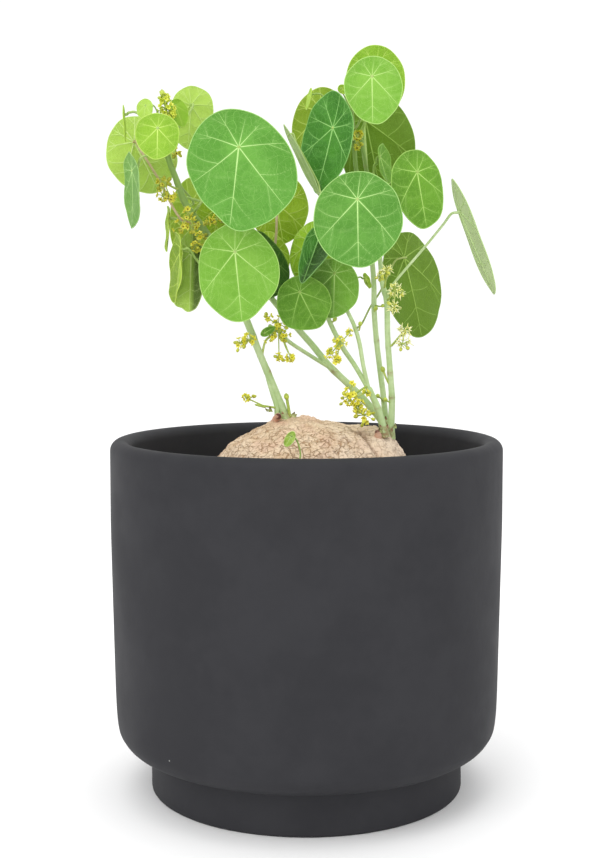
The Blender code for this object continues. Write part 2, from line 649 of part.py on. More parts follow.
def add_leaf(row):
    """A blade with a thin edge and its petiole, as one closed mesh."""
    small = row.length < 12
    count = 12 if small else 14 if row.length < 22 else 18
    sides = 4 if small else 5
    petiole_radius = 0.36 if small else PETIOLE_RADIUS
    across, tip, face = leaf_axes(row)
    hub = np.array(row.hub, float)
    points = [hub]

    def ring(share, lift):
        start = len(points)
        for i in range(count):
            angle = 2 * math.pi * i / count
            u, v = leaf_edge(row, angle)
            u, v = u * share, v * share
            w = leaf_height(row, u, v, angle, share) + lift
            points.append(hub + u * across + v * tip + w * face)
        return list(range(start, start + count))

    top_mid = ring(0.55, 0)
    top_edge = ring(1.0, 0)
    low_edge = ring(1.0, -BLADE_THICKNESS)
    low_mid = ring(0.55, -BLADE_THICKNESS)
    faces = []
    for i in range(count):
        j = (i + 1) % count
        faces.append((0, top_mid[i], top_mid[j]))
        for first, second in ((top_mid, top_edge), (top_edge, low_edge), (low_mid, low_edge)):
            faces.append((first[i], second[i], second[j]))
            faces.append((first[i], second[j], first[j]))
    start = hub - face * (BLADE_THICKNESS + 0.4)
    via = [np.array(p, float) for p in row.via]
    before = via[-1] if via else start - face * 3
    if row.branch == "caudex":
        end = np.array(SPROUT_FOOT)
    else:
        end = joint_on(row.branch, row.place, before, petiole_radius)
    path = smooth_path([start] + via + [end], 2 if len(via) > 1 else 4, -face)
    radii = [petiole_radius] * len(path)
    rings = tube_rings(path, radii, sides, tip)
    first = len(points)
    for one in rings:
        points += one
    # The petiole's first ring starts towards the tip and goes the same way round as the blade.
    turning = np.dot(np.cross(rings[0][0] - path[0], rings[0][1] - path[0]), face)
    blade_turning = np.dot(np.cross(tip, across), face)
    order = list(range(sides))
    if turning * blade_turning < 0:
        order = [0] + order[:0:-1]
    inner = [first + k for k in order]
    outer_angles = [2 * math.pi * (i + 0.5) / count for i in range(count)]
    inner_angles = [2 * math.pi * (j + 0.5) / sides for j in range(sides)]
    faces += annulus(low_mid, inner, outer_angles, inner_angles)
    step = -1 if order[1] != 1 else 1
    for k in range(len(rings) - 1):
        for i in range(sides):
            a = first + k * sides + (i * step) % sides
            b = first + k * sides + ((i + 1) * step) % sides
            faces.append((a, b, b + sides))
            faces.append((a, b + sides, a + sides))
    last = first + (len(rings) - 1) * sides
    faces.append(tuple(last + (i * step) % sides for i in range(sides)))
    return make_object(row.name, points, orient(points, faces), LEAF, 40)


def orient(points, faces):
    """The same faces, all turned the same way."""
    shape = bmesh.new()
    corners = [shape.verts.new(p) for p in points]
    for face in faces:
        shape.faces.new([corners[i] for i in face])
    bmesh.ops.recalc_face_normals(shape, faces=shape.faces)
    shape.verts.index_update()
    turned = [tuple(v.index for v in face.verts) for face in shape.faces]
    shape.free()
    return turned


def icosahedron(middle, radius, stretch=1.0):
    shape = bmesh.new()
    bmesh.ops.create_icosphere(shape, subdivisions=1, radius=radius)
    points = [np.array(middle) + np.array((v.co.x, v.co.y, v.co.z * stretch)) for v in shape.verts]
    faces = [tuple(v.index for v in face.verts) for face in shape.faces]
    shape.free()
    return points, faces


def octahedron(middle, radius):
    """A floret's outline: six corners, turned a little so that no two are alike."""
    middle = np.asarray(middle, float)
    turn = middle[0] + middle[2]
    points = []
    for i in range(4):
        t = turn + i * math.pi / 2
        points.append(middle + radius * np.array([math.cos(t), 0.3 * math.sin(t), math.sin(t)]))
    points.append(middle + (0, radius * 0.8, 0))
    points.append(middle - (0, radius * 0.8, 0))
    faces = []
    for i in range(4):
        j = (i + 1) % 4
        faces.append((i, j, 4))
        faces.append((j, i, 5))
    return points, faces


def fuse(name, pieces, finish, sharp_degrees=50):
    """One object from closed pieces that overlap, by a single Boolean union."""
    objects = [make_object(f"{name}_{i}", p, f, finish) for i, (p, f) in enumerate(pieces)]
    whole = objects[0]
    whole.name = name
    whole.data.name = name
    if len(objects) > 1:
        others = bpy.data.collections.new(f"{name}_pieces")
        for obj in objects[1:]:
            bpy.context.scene.collection.objects.unlink(obj)
            others.objects.link(obj)
        bpy.context.scene.collection.children.link(others)
        modifier = whole.modifiers.new("fuse", "BOOLEAN")
        modifier.operation = "UNION"
        modifier.operand_type = "COLLECTION"
        modifier.collection = others
        modifier.solver = "MANIFOLD"
        bpy.context.view_layer.objects.active = whole
        bpy.ops.object.modifier_apply(modifier=modifier.name)
        for obj in objects[1:]:
            bpy.data.objects.remove(obj, do_unlink=True)
        bpy.data.collections.remove(others)
    whole.data.shade_smooth()
    whole.data.set_sharp_from_angle(angle=math.radians(sharp_degrees))
    return whole


def add_stem(name, branches):
    pieces = []
    for branch in branches:
        path, radii = branch_curve(branch)
        pieces.append(tube(path, radii, 8 if radii[0] > 1.1 else 5))
    for branch, place, middle in STEM_BUDS.get(name, []):
        point, _, _ = branch_at(branch, place)
        path = np.array([point, np.array(middle)])
        pieces.append(tube(path, [0.35, 0.35], 4))
        pieces.append(icosahedron(middle, 0.9, 1.3))
    return fuse(name, pieces, STEM, 60)


def floret_places(lump):
    """Middles of an umbel's florets, spread over a ball."""
    x, y, z, radius, florets = lump
    places = []
    for i in range(florets):
        height = 1 - 2 * (i + 0.5) / florets
        out = math.sqrt(1 - height**2)
        turn = i * GOLDEN_ANGLE + x
        reach = radius * 0.74
        way = np.array([out * math.cos(turn), out * math.sin(turn), height])
        places.append(np.array([x, y, z]) + way * reach)
    return places


def add_cluster(row):
    middle = np.array(row.lumps[0][:3], float)
    via = [np.array(p, float) for p in row.via]
    foot = joint_on(row.branch, row.place, via[0] if via else middle, 0.35)
    path = smooth_path([middle] + via[::-1] + [foot], 3)
    pieces = [tube(path, [0.4] * len(path), 5)]
    for lump in row.lumps:
        centre = np.array(lump[:3], float)
        if lump is not row.lumps[0]:
            pieces.append(tube(np.array([middle, centre]), [0.35, 0.35], 4))
        pieces.append(icosahedron(centre, lump[3] * 0.7))
        for place in floret_places(lump):
            pieces.append(octahedron(place, FLORET_RADIUS))
    if row.bud:
        top = middle + np.array([-1.2, 0, row.bud])
        pieces.append(tube(np.array([middle, top]), [0.5, 0.5], 4))
        pieces.append(icosahedron(top, 1.3, 1.4))
    return fuse(row.name, pieces, PETAL)


def main():
    clear_scene()
    add_pot()
    add_soil()
    add_caudex()
    add_stem("stem_a", ["A"])
    add_stem("stem_b", ["B", "b"])
    add_stem("stem_c", [STEM_C, "C", "c"])
    add_stem("stem_d", ["D"])
    add_stem("stem_e", ["E"])
    for row in LEAVES:
        add_leaf(row)
    for row in CLUSTERS:
        add_cluster(row)


main()
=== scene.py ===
"""Looks of a potted stephania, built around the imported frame.

Round leaves with raised veins on petioles that meet them inside the edge, small yellow umbels,
glaucous stems, a fissured caudex, gritty soil and a matte dark pot. Lengths in the tables are in
millimetres and meshes are in metres. +Z is up and the viewer looks along +Y.
"""
import logging
import math
from collections.abc import Callable, Iterator, Sequence
from contextlib import contextmanager
from dataclasses import dataclass, field
from enum import Enum
from functools import cache, cached_property
from typing import Any

import bpy
import numpy as np
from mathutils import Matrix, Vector, noise


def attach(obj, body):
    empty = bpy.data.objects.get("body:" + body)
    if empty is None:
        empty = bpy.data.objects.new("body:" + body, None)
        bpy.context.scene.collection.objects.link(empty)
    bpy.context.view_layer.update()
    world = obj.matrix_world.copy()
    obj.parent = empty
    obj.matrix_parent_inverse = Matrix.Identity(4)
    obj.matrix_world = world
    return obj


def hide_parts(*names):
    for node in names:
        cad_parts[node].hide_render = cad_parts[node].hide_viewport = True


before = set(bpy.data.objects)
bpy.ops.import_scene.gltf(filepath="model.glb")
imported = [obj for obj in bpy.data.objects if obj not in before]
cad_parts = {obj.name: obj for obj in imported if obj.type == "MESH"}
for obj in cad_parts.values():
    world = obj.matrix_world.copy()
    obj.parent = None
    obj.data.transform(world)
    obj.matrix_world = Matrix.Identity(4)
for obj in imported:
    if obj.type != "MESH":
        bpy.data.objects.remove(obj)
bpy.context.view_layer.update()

logging.basicConfig(level=logging.INFO, format="%(name)s: %(message)s")
log = logging.getLogger("stephania")

MM = 0.001
GOLDEN_ANGLE = math.pi * (3 - math.sqrt(5))
SEED = 20261127

Point = tuple[float, float, float]
Row = tuple[float, float, float, float]
Colour = tuple[int, int, int]
Array = np.ndarray
Piece = bpy.types.Object
Material = bpy.types.Material
Socket = bpy.types.NodeSocket


# Finishes


@dataclass(frozen=True)
class LeafFinish:
    """Colours of a blade: two greens that it varies between, its veins and its underside."""

    light: Colour
    deep: Colour
    vein: Colour
    under: Colour


class LeafTone(Enum):
    """The greens of the foliage, each with its finish."""

    YOUNG = LeafFinish((160, 196, 58), (148, 186, 46), (206, 226, 120), (166, 196, 70))
    PALE = LeafFinish((172, 206, 90), (158, 194, 74), (206, 226, 146), (174, 208, 88))
    LIME = LeafFinish((144, 188, 50), (124, 170, 36), (198, 224, 116), (156, 198, 46))
    FRESH = LeafFinish((126, 178, 62), (108, 162, 46), (190, 224, 134), (136, 176, 66))
    MATURE = LeafFinish((100, 160, 58), (82, 142, 44), (188, 226, 142), (126, 164, 66))
    LEAFY = LeafFinish((104, 156, 38), (84, 134, 26), (174, 212, 112), (118, 156, 46))
    SHADED = LeafFinish((146, 180, 44), (126, 160, 30), (194, 214, 106), (152, 186, 42))
    OLIVE = LeafFinish((98, 136, 30), (80, 118, 22), (150, 182, 82), (98, 134, 32))
    DEEP = LeafFinish((56, 100, 18), (42, 84, 12), (112, 152, 66), (80, 120, 34))
    BLUISH = LeafFinish((74, 140, 42), (54, 114, 30), (154, 206, 120), (96, 146, 58))
    GLAUCOUS = LeafFinish((110, 154, 70), (92, 138, 56), (168, 204, 128), (126, 164, 84))
    SILVER = LeafFinish((174, 200, 132), (158, 186, 114), (206, 222, 170), (192, 212, 158))


# The dark green that painted shade on the leaves darkens towards.
SHADOW_GREEN: Colour = (32, 58, 12)


@dataclass(frozen=True)
class StemFinish:
    """A stem's skin: its green, its waxy bloom, its scars, and its darker green towards the top, partly its
    own green and partly painted shade from the leaves above.
    """

    name: str
    skin: Colour
    bloom: Colour
    scar: Colour
    roughness: float = 0.55
    # the darker green towards the top, partly the stem's own and partly painted shade
    young: Colour = (122, 154, 66)


MAIN_STEM = StemFinish("stem_skin", (174, 200, 138), (196, 216, 164), (148, 128, 88))
PETIOLE_GREEN = StemFinish("petiole_green", (146, 178, 84), (172, 196, 118), (160, 140, 96))
PETIOLE_ROSY = StemFinish("petiole_rosy", (176, 160, 112), (196, 178, 146), (172, 130, 104))
PETIOLE_PALE = StemFinish("petiole_pale", (176, 200, 136), (204, 222, 170), (170, 150, 110))
PETIOLE_OLIVE = StemFinish("petiole_olive", (138, 158, 76), (158, 178, 98), (130, 126, 70))
PEDUNCLE = StemFinish("peduncle_green", (160, 182, 78), (190, 204, 112), (150, 130, 70))


@dataclass(frozen=True)
class FloretFinish:
    """A floret: petals and their tips, the disc in its middle, and closed buds."""

    name: str
    petal: Colour
    petal_tip: Colour
    disc: Colour
    bud: Colour


FRESH_FLORET = FloretFinish(
    "floret_fresh", (228, 222, 50), (240, 236, 100), (196, 180, 42), (208, 214, 74)
)
WARM_FLORET = FloretFinish(
    "floret_warm", (204, 200, 44), (224, 220, 92), (138, 112, 28), (184, 186, 56)
)
GREEN_FLORET = FloretFinish(
    "floret_green", (208, 220, 56), (224, 230, 98), (178, 186, 44), (196, 214, 88)
)
CREAM_FLORET = FloretFinish(
    "floret_cream", (240, 242, 130), (250, 250, 206), (212, 204, 58), (214, 220, 92)
)


@dataclass(frozen=True)
class PotFinish:
    """A matte ceramic glaze with a few pale specks."""

    glaze: Colour = (51, 51, 54)
    mottle: Colour = (47, 47, 50)
    speck: Colour = (168, 168, 164)
    roughness: float = 0.62


@dataclass(frozen=True)
class BarkFinish:
    """The caudex's corky plates, the paler colour of its right side, its rosy patches, fissures, and the
    painted shade in its folds.
    """

    plate: Colour = (210, 182, 150)
    light: Colour = (230, 208, 180)
    # the paler colour that the bark turns towards the right
    paler_right: Colour = (238, 220, 200)
    rosy: Colour = (220, 184, 160)
    fissure: Colour = (150, 114, 78)
    # the colour of the painted shade in the fold and the hollow beside the right knob
    crease_and_shade: Colour = (112, 80, 56)
    roughness: float = 0.85


@dataclass(frozen=True)
class SoilFinish:
    """Dark potting mix with bark crumbs and pale grit."""

    dark: Colour = (52, 40, 31)
    light: Colour = (98, 76, 56)
    grit: Colour = (176, 162, 142)
    crumb: Colour = (112, 78, 50)


def linear(colour: Colour | Socket) -> Any:
    """A screen colour as the shader's linear one.

    Args:
        colour: Red, green and blue from 0 to 255, or a socket.

    Returns:
        Linear red, green, blue and a full alpha, or the socket as it is.
    """
    if isinstance(colour, Socket):
        return colour
    values = [c / 255 for c in colour]
    values = [c / 12.92 if c <= 0.04045 else ((c + 0.055) / 1.055) ** 2.4 for c in values]
    return (*values, 1.0)


def darker(colour: Colour, share: float) -> Colour:
    """The colour at this share of its brightness."""
    return tuple(int(c * share) for c in colour)


# Shader building


@dataclass
class Graph:
    """Adds nodes to a node tree and links them. Every value may be a socket."""

    tree: bpy.types.NodeTree

    def add(self, kind: str, inputs: dict[Any, Any] | None = None, **settings: Any) -> bpy.types.Node:
        """One node.

        Args:
            kind: Its Blender type.
            inputs: Values or sockets for its inputs, by name or number.
            **settings: The node's own properties.

        Returns:
            The node.
        """
        node = self.tree.nodes.new(kind)
        for name, value in settings.items():
            setattr(node, name, value)
        for key, value in (inputs or {}).items():
            self.feed(node.inputs[key], value)
        return node

    def feed(self, socket: Socket, value: Any) -> None:
        """Link a socket to the input, or set its value.

        Args:
            socket: An input of a node.
            value: An output socket, a colour or a number.
        """
        if isinstance(value, Socket):
            self.tree.links.new(value, socket)
        else:
            socket.default_value = value

    def mix(self, factor: Any, first: Any, second: Any) -> Socket:
        """A blend of two colours."""
        inputs = {0: factor, 6: linear(first), 7: linear(second)}
        return self.add("ShaderNodeMix", inputs, data_type="RGBA").outputs[2]

    def math(self, operation: str, first: Any, second: Any, clamped: bool = True) -> Socket:
        """A sum, product or other operation on two numbers, kept from 0 to 1 where clamped."""
        inputs = {0: first, 1: second}
        return self.add("ShaderNodeMath", inputs, operation=operation, use_clamp=clamped).outputs[0]

    def span(self, value: Any, low: float, high: float, start: float = 0.0, end: float = 1.0) -> Socket:
        """The value's place between low and high, as a number from start to end.

        Args:
            value: A number or a socket.
            low: Where the span starts.
            high: Where it ends.
            start: The result at low and below it.
            end: The result at high and above it.

        Returns:
            The result's socket.
        """
        inputs = {"Value": value, "From Min": low, "From Max": high, "To Min": start, "To Max": end}
        node = self.add("ShaderNodeMapRange", inputs, interpolation_type="SMOOTHSTEP")
        return node.outputs["Result"]

    def noise(self, vector: Any, scale: Any, detail: float = 3.0, output: str = "Fac") -> Socket:
        """Noise from 0 to 1, as a number or a colour."""
        node = self.add("ShaderNodeTexNoise", {"Vector": vector, "Scale": scale, "Detail": detail})
        return node.outputs[output]

    def seams(self, vector: Any, scale: Any, dimensions: str = "3D") -> Socket:
        """Distance to the seams between irregular cells.

        Args:
            vector: The place.
            scale: Cells in a metre.
            dimensions: 2D or 3D cells.

        Returns:
            The distance's socket.
        """
        node = self.add(
            "ShaderNodeTexVoronoi",
            {"Vector": vector, "Scale": scale},
            feature="DISTANCE_TO_EDGE",
            voronoi_dimensions=dimensions,
        )
        return node.outputs["Distance"]

    def wander(self, vector: Any, scale: float, reach: float) -> Socket:
        """The place moved about by noise, so that lines drawn from it run unevenly.

        Args:
            vector: The place.
            scale: The noise's scale.
            reach: How far it moves the place, in metres.

        Returns:
            The moved place's socket.
        """
        drift = {0: self.noise(vector, scale, 1.0, "Color"), 1: (reach, reach, reach)}
        bent = self.add("ShaderNodeVectorMath", drift, operation="MULTIPLY")
        return self.add("ShaderNodeVectorMath", {0: vector, 1: bent.outputs[0]}).outputs[0]

    def attribute(self, name: str) -> Socket:
        """The mesh's own numbers under that name."""
        return self.add("ShaderNodeAttribute", attribute_name=name).outputs["Fac"]


VALUE = "NodeSocketFloat"
COLOUR = "NodeSocketColor"
VECTOR = "NodeSocketVector"


def new_group(name: str, inputs: dict[str, str], outputs: dict[str, str]) -> tuple[Graph, Any, Any]:
    """An empty node group with named sockets.

    Args:
        name: The group's name.
        inputs: Socket types by name.
        outputs: Socket types by name.

    Returns:
        The graph, the sockets that it is given and the sockets that it fills.
    """
    tree = bpy.data.node_groups.new(name, "ShaderNodeTree")
    for way, sockets in (("INPUT", inputs), ("OUTPUT", outputs)):
        for key, kind in sockets.items():
            tree.interface.new_socket(name=key, in_out=way, socket_type=kind)
    graph = Graph(tree)
    return graph, graph.add("NodeGroupInput").outputs, graph.add("NodeGroupOutput").inputs


@cache
def mottle_group() -> bpy.types.NodeTree:
    """Two colours blended in soft blotches with a finer grain over them.

    Returns:
        The group, with the colour and its mask from 0 to 1.
    """
    inputs = {"Vector": VECTOR, "First": COLOUR, "Second": COLOUR, "Scale": VALUE}
    graph, given, result = new_group("mottle", inputs, {"Colour": COLOUR, "Mask": VALUE})
    broad = graph.noise(given["Vector"], given["Scale"], 2.0)
    finer = graph.math("MULTIPLY", given["Scale"], 7.0, clamped=False)
    grain = graph.noise(given["Vector"], finer)
    both = graph.add("ShaderNodeMix", {0: 0.3, 2: broad, 3: grain})
    mask = graph.span(both.outputs[0], 0.36, 0.64)
    graph.feed(result["Colour"], graph.mix(mask, given["First"], given["Second"]))
    graph.feed(result["Mask"], mask)
    return graph.tree


@cache
def net_group() -> bpy.types.NodeTree:
    """The net of minor veins: pale lines round cells of two sizes.

    Returns:
        The group, with the lines and the pads between them from 0 to 1.
    """
    inputs = {"Vector": VECTOR, "Cells": VALUE}
    graph, given, result = new_group("vein_net", inputs, {"Lines": VALUE, "Pads": VALUE})
    place = graph.wander(given["Vector"], 16.0, 0.045)
    large = graph.seams(place, given["Cells"], "2D")
    small = graph.seams(place, graph.math("MULTIPLY", given["Cells"], 3.4, clamped=False), "2D")
    wide = graph.span(large, 0.01, 0.055, 1.0, 0.0)
    thin = graph.span(small, 0.02, 0.1, 0.5, 0.0)
    graph.feed(result["Lines"], graph.math("MAXIMUM", wide, thin))
    graph.feed(result["Pads"], graph.span(small, 0.0, 0.35))
    return graph.tree


class Paint(Graph):
    """A new material's graph, with its place on the object and its Principled shader."""

    def __init__(self, name: str) -> None:
        """Make the material with a bare shader.

        Args:
            name: The material's name.
        """
        self.material = bpy.data.materials.new(name)
        self.material.use_nodes = True
        super().__init__(self.material.node_tree)
        self.shader = self.tree.nodes["Principled BSDF"]
        self.here = self.add("ShaderNodeTexCoord").outputs["Object"]

    def mottle(self, first: Colour, second: Colour, scale: float) -> Any:
        """The outputs of the shared mottle: its colour and its mask."""
        inputs = {"Vector": self.here, "First": linear(first), "Second": linear(second), "Scale": scale}
        return self.add("ShaderNodeGroup", inputs, node_tree=mottle_group()).outputs

    def surface(self, colour: Socket, roughness: Any, specular: float) -> None:
        """Set the shader's base colour, roughness and specular level.

        Args:
            colour: The base colour's socket.
            roughness: A number or a socket.
            specular: The specular level.
        """
        self.feed(self.shader.inputs["Base Color"], colour)
        self.feed(self.shader.inputs["Roughness"], roughness)
        self.feed(self.shader.inputs["Specular IOR Level"], specular)

    def relief(self, height: Any, strength: float, depth: float) -> None:
        """Small relief from a height, with its depth in metres.

        Args:
            height: A number or a socket.
            strength: From 0 to 1.
            depth: The depth of the full height.
        """
        inputs = {"Height": height, "Strength": strength, "Distance": depth}
        bump = self.add("ShaderNodeBump", inputs)
        self.feed(self.shader.inputs["Normal"], bump.outputs["Normal"])


@cache
def blade_material(tone: LeafTone, under: bool) -> Material:
    """A blade's skin, with its minor veins, a pale band along the main ones, and painted shade that darkens
    it towards a shadow green.

    Args:
        tone: Which green.
        under: True for the leaf's back.

    Returns:
        The material, made once for each tone and side.
    """
    finish: LeafFinish = tone.value
    light, deep = finish.light, finish.deep
    if under:
        light, deep = finish.under, darker(finish.under, 0.94)
    paint = Paint(f"blade_{tone.name.lower()}{'_back' if under else ''}")
    blotch = paint.mottle(light, deep, 85.0)
    outer = paint.span(paint.attribute("reach"), 0.15, 1.0, 0.0, 0.45)
    skin = paint.mix(outer, blotch["Colour"], deep)
    # painted shade: the blade is darkened towards a shadow green on one half or all over
    skin = paint.mix(paint.attribute("painted_shade"), skin, SHADOW_GREEN)
    plane = paint.add("ShaderNodeUVMap", uv_map="leaf_plane").outputs["UV"]
    net = paint.add("ShaderNodeGroup", {"Vector": plane, "Cells": 15.0}, node_tree=net_group()).outputs
    beside = paint.span(paint.attribute("vein_near"), 0.1, 0.9, 0.1, 0.0)
    pale = paint.math("MAXIMUM", beside, paint.math("MULTIPLY", net["Lines"], 0.08))
    rough = paint.span(blotch["Mask"], 0.0, 1.0, 0.5, 0.6)
    paint.surface(paint.mix(pale, skin, finish.vein), rough, 0.2 if under else 0.26)
    shown = paint.span(paint.attribute("strength"), 0.3, 0.6)
    paint.relief(paint.math("MULTIPLY", net["Pads"], shown), 0.5, 0.00012)
    return paint.material


@cache
def vein_material(tone: LeafTone) -> Material:
    """Veins and margin of a blade, the stronger the paler, darkened with the blade's painted shade.

    Args:
        tone: The blade's green.

    Returns:
        The material, made once for each tone.
    """
    finish: LeafFinish = tone.value
    paint = Paint(f"vein_{tone.name.lower()}")
    # painted shade: the veins are darkened as the blade under them is
    skin = paint.mix(paint.attribute("painted_shade"), finish.light, SHADOW_GREEN)
    uneven = paint.span(paint.noise(paint.here, 260.0, 2.0), 0.3, 0.7, 0.8, 1.0)
    strength = paint.math("MULTIPLY", paint.attribute("strength"), uneven)
    paint.surface(paint.mix(strength, skin, finish.vein), 0.55, 0.25)
    return paint.material


@cache
def stem_material(finish: StemFinish) -> Material:
    """A stem's waxy skin with streaks along it, brown scars at its nodes, and a darker green towards the
    top that is partly painted shade.

    Args:
        finish: Its colours.

    Returns:
        The material, made once for each finish.
    """
    paint = Paint(finish.name)
    drawn = paint.add("ShaderNodeMapping", {"Vector": paint.here, "Scale": (1.0, 1.0, 0.08)})
    streak = paint.noise(drawn.outputs["Vector"], 900.0, 2.0)
    bloom = paint.mottle(finish.bloom, finish.skin, 120.0)["Colour"]
    skin = paint.mix(paint.span(streak, 0.45, 0.75, 0.0, 0.4), bloom, finish.skin)
    # darker green towards the top: partly the stem's own green, partly painted shade from the leaves above
    skin = paint.mix(paint.attribute("young"), skin, finish.young)
    ragged = paint.span(paint.noise(paint.here, 700.0, 2.0), 0.3, 0.55)
    scar = paint.math("MULTIPLY", paint.attribute("scar"), ragged)
    paint.surface(paint.mix(scar, skin, finish.scar), finish.roughness, 0.35)
    paint.relief(streak, 0.35, 0.00015)
    return paint.material


@cache
def floret_material(finish: FloretFinish, part: str) -> Material:
    """Petal, disc or bud of a floret.

    Args:
        finish: Its colours.
        part: One of petal, disc and bud.

    Returns:
        The material, made once for each finish and part.
    """
    first = getattr(finish, part)
    second = finish.petal_tip if part == "petal" else darker(first, 0.82)
    paint = Paint(f"{finish.name}_{part}")
    paint.surface(paint.mottle(first, second, 520.0)["Colour"], 0.5, 0.35)
    return paint.material


# Modelling


def added(name: str) -> Piece:
    """The object that an operator has just made, under this name.

    Args:
        name: Its name and its mesh's.

    Returns:
        The object.
    """
    obj = bpy.context.active_object
    obj.name = obj.data.name = name
    return obj


def start(operator: Callable, name: str, **settings: Any) -> Piece:
    """What an operator adds, with nothing else selected.

    Args:
        operator: One of Blender's that adds an object.
        name: The object's name.
        **settings: The operator's own.

    Returns:
        The object.
    """
    bpy.ops.object.select_all(action="DESELECT")
    operator(**settings)
    return added(name)


def select_only(obj: Piece) -> None:
    """Select one object and make it active.

    Args:
        obj: The object.
    """
    bpy.ops.object.select_all(action="DESELECT")
    obj.select_set(True)
    bpy.context.view_layer.objects.active = obj


@contextmanager
def editing(obj: Piece) -> Iterator[None]:
    """Edit mode, with all of the mesh selected.

    Args:
        obj: The object.

    Returns:
        A context that leaves edit mode at its end.
    """
    select_only(obj)
    bpy.ops.object.mode_set(mode="EDIT")
    bpy.ops.mesh.select_all(action="SELECT")
    yield
    bpy.ops.object.mode_set(mode="OBJECT")


def own_copy(source: Piece, name: str) -> Piece:
    """A copy of the object with its own mesh.

    Args:
        source: What is copied.
        name: The copy's name.

    Returns:
        The copy.
    """
    obj = source.copy()
    obj.data = source.data.copy()
    obj.name = obj.data.name = name
    bpy.context.scene.collection.objects.link(obj)
    return obj


def remove(*patterns: Piece) -> None:
    """Delete patterns that have been copied."""
    for pattern in patterns:
        bpy.data.objects.remove(pattern, do_unlink=True)


def apply_modifier(obj: Piece, kind: str, **settings: Any) -> None:
    """Add a modifier with these settings and apply it.

    Args:
        obj: The object.
        kind: Blender's name for its type.
        **settings: Its properties.
    """
    select_only(obj)
    modifier = obj.modifiers.new(kind.lower(), kind)
    for name, value in settings.items():
        setattr(modifier, name, value)
    bpy.ops.object.modifier_apply(modifier=modifier.name)


def points_of(obj: Piece) -> Array:
    """The mesh's points in millimetres.

    Args:
        obj: The object.

    Returns:
        A row of x, y and z for each point.
    """
    flat = np.empty(len(obj.data.vertices) * 3, np.float32)
    obj.data.vertices.foreach_get("co", flat)
    return flat.reshape(-1, 3).astype(float) / MM


def move_points(obj: Piece, points: Array) -> None:
    """Put the mesh's points at these places in millimetres."""
    obj.data.vertices.foreach_set("co", (points * MM).astype(np.float32).ravel())
    obj.data.update()


def write_numbers(obj: Piece, name: str, values: Array) -> None:
    """Keep one number for each point of the mesh.

    Args:
        obj: The object.
        name: The attribute's name.
        values: One number for each point.
    """
    found = obj.data.attributes.get(name)
    attribute = found or obj.data.attributes.new(name, "FLOAT", "POINT")
    attribute.data.foreach_set("value", np.asarray(values, np.float32))


def wear(obj: Piece, *materials: Material) -> None:
    """Give the mesh these materials and no others.

    Args:
        obj: The object.
        *materials: The materials, in the order of their slots.
    """
    obj.data.materials.clear()
    for material in materials:
        obj.data.materials.append(material)


def smooth(obj: Piece, degrees: float) -> None:
    """Shade the mesh smooth, with edges over the angle left sharp."""
    select_only(obj)
    bpy.ops.object.shade_smooth_by_angle(angle=math.radians(degrees))


def dress(obj: Piece, material: Material, degrees: float = 60.0) -> Piece:
    """The mesh in one material and shaded smooth.

    Args:
        obj: The object.
        material: Its material.
        degrees: Edges over this angle stay sharp.

    Returns:
        The same object.
    """
    wear(obj, material)
    smooth(obj, degrees)
    return obj


def join(objects: Sequence[Piece], name: str) -> Piece:
    """Join meshes into one object.

    Args:
        objects: The meshes.
        name: The joined object's name.

    Returns:
        The joined object.
    """
    bpy.ops.object.select_all(action="DESELECT")
    for obj in objects:
        obj.select_set(True)
    bpy.context.view_layer.objects.active = objects[0]
    if len(objects) > 1:
        bpy.ops.object.join()
    return added(name)


def outward(obj: Piece, merge: float = 0.0) -> None:
    """Merge points nearer than this many millimetres, and turn all faces outward.

    Args:
        obj: The object.
        merge: The distance, or 0 to merge nothing.
    """
    with editing(obj):
        if merge:
            bpy.ops.mesh.remove_doubles(threshold=merge * MM)
        bpy.ops.mesh.normals_make_consistent(inside=False)


def model_disc(name: str, count: int, rings: int) -> Piece:
    """A flat disc of rings: a circle extruded inwards ring by ring and closed at its middle.

    Args:
        name: The object's name.
        count: Points round each ring.
        rings: Number of rings, closer together towards the edge.

    Returns:
        The disc, a metre in radius.
    """
    shares = 1 - np.linspace(0, 1, rings + 1)[:-1] ** 1.25
    disc = start(bpy.ops.mesh.primitive_circle_add, name, vertices=count, radius=1.0, calc_uvs=False)
    with editing(disc):
        for outer, inner in zip(shares, shares[1:]):
            bpy.ops.mesh.extrude_edges_move()
            bpy.ops.transform.resize(value=(inner / outer,) * 3, center_override=(0.0, 0.0, 0.0))
        bpy.ops.mesh.extrude_edges_move()
        bpy.ops.mesh.merge(type="CENTER")
        bpy.ops.mesh.select_all(action="SELECT")
        bpy.ops.mesh.normals_make_consistent(inside=False)
    return disc


def model_turned(name: str, profile: Sequence[tuple[float, float]], steps: int) -> Piece:
    """A solid of revolution: a line extruded point by point and spun round the upright axis.

    Args:
        name: The object's name.
        profile: Radius and height in millimetres, from the axis round to the axis.
        steps: Facets round it.

    Returns:
        The solid.
    """
    solid = start(bpy.ops.mesh.primitive_plane_add, name, size=2 * MM)
    with editing(solid):
        bpy.ops.mesh.merge(type="CENTER")
        bpy.ops.transform.translate(value=(profile[0][0] * MM, 0.0, profile[0][1] * MM))
        for (radius, height), (next_radius, next_height) in zip(profile, profile[1:]):
            way = ((next_radius - radius) * MM, 0.0, (next_height - height) * MM)
            bpy.ops.mesh.extrude_region_move(TRANSFORM_OT_translate={"value": way})
        bpy.ops.mesh.select_all(action="SELECT")
        bpy.ops.mesh.spin(steps=steps, angle=2 * math.pi, center=(0.0, 0.0, 0.0), axis=(0.0, 0.0, 1.0))
        bpy.ops.mesh.select_all(action="SELECT")
        bpy.ops.mesh.remove_doubles(threshold=0.02 * MM)
        bpy.ops.mesh.normals_make_consistent(inside=False)
    return solid


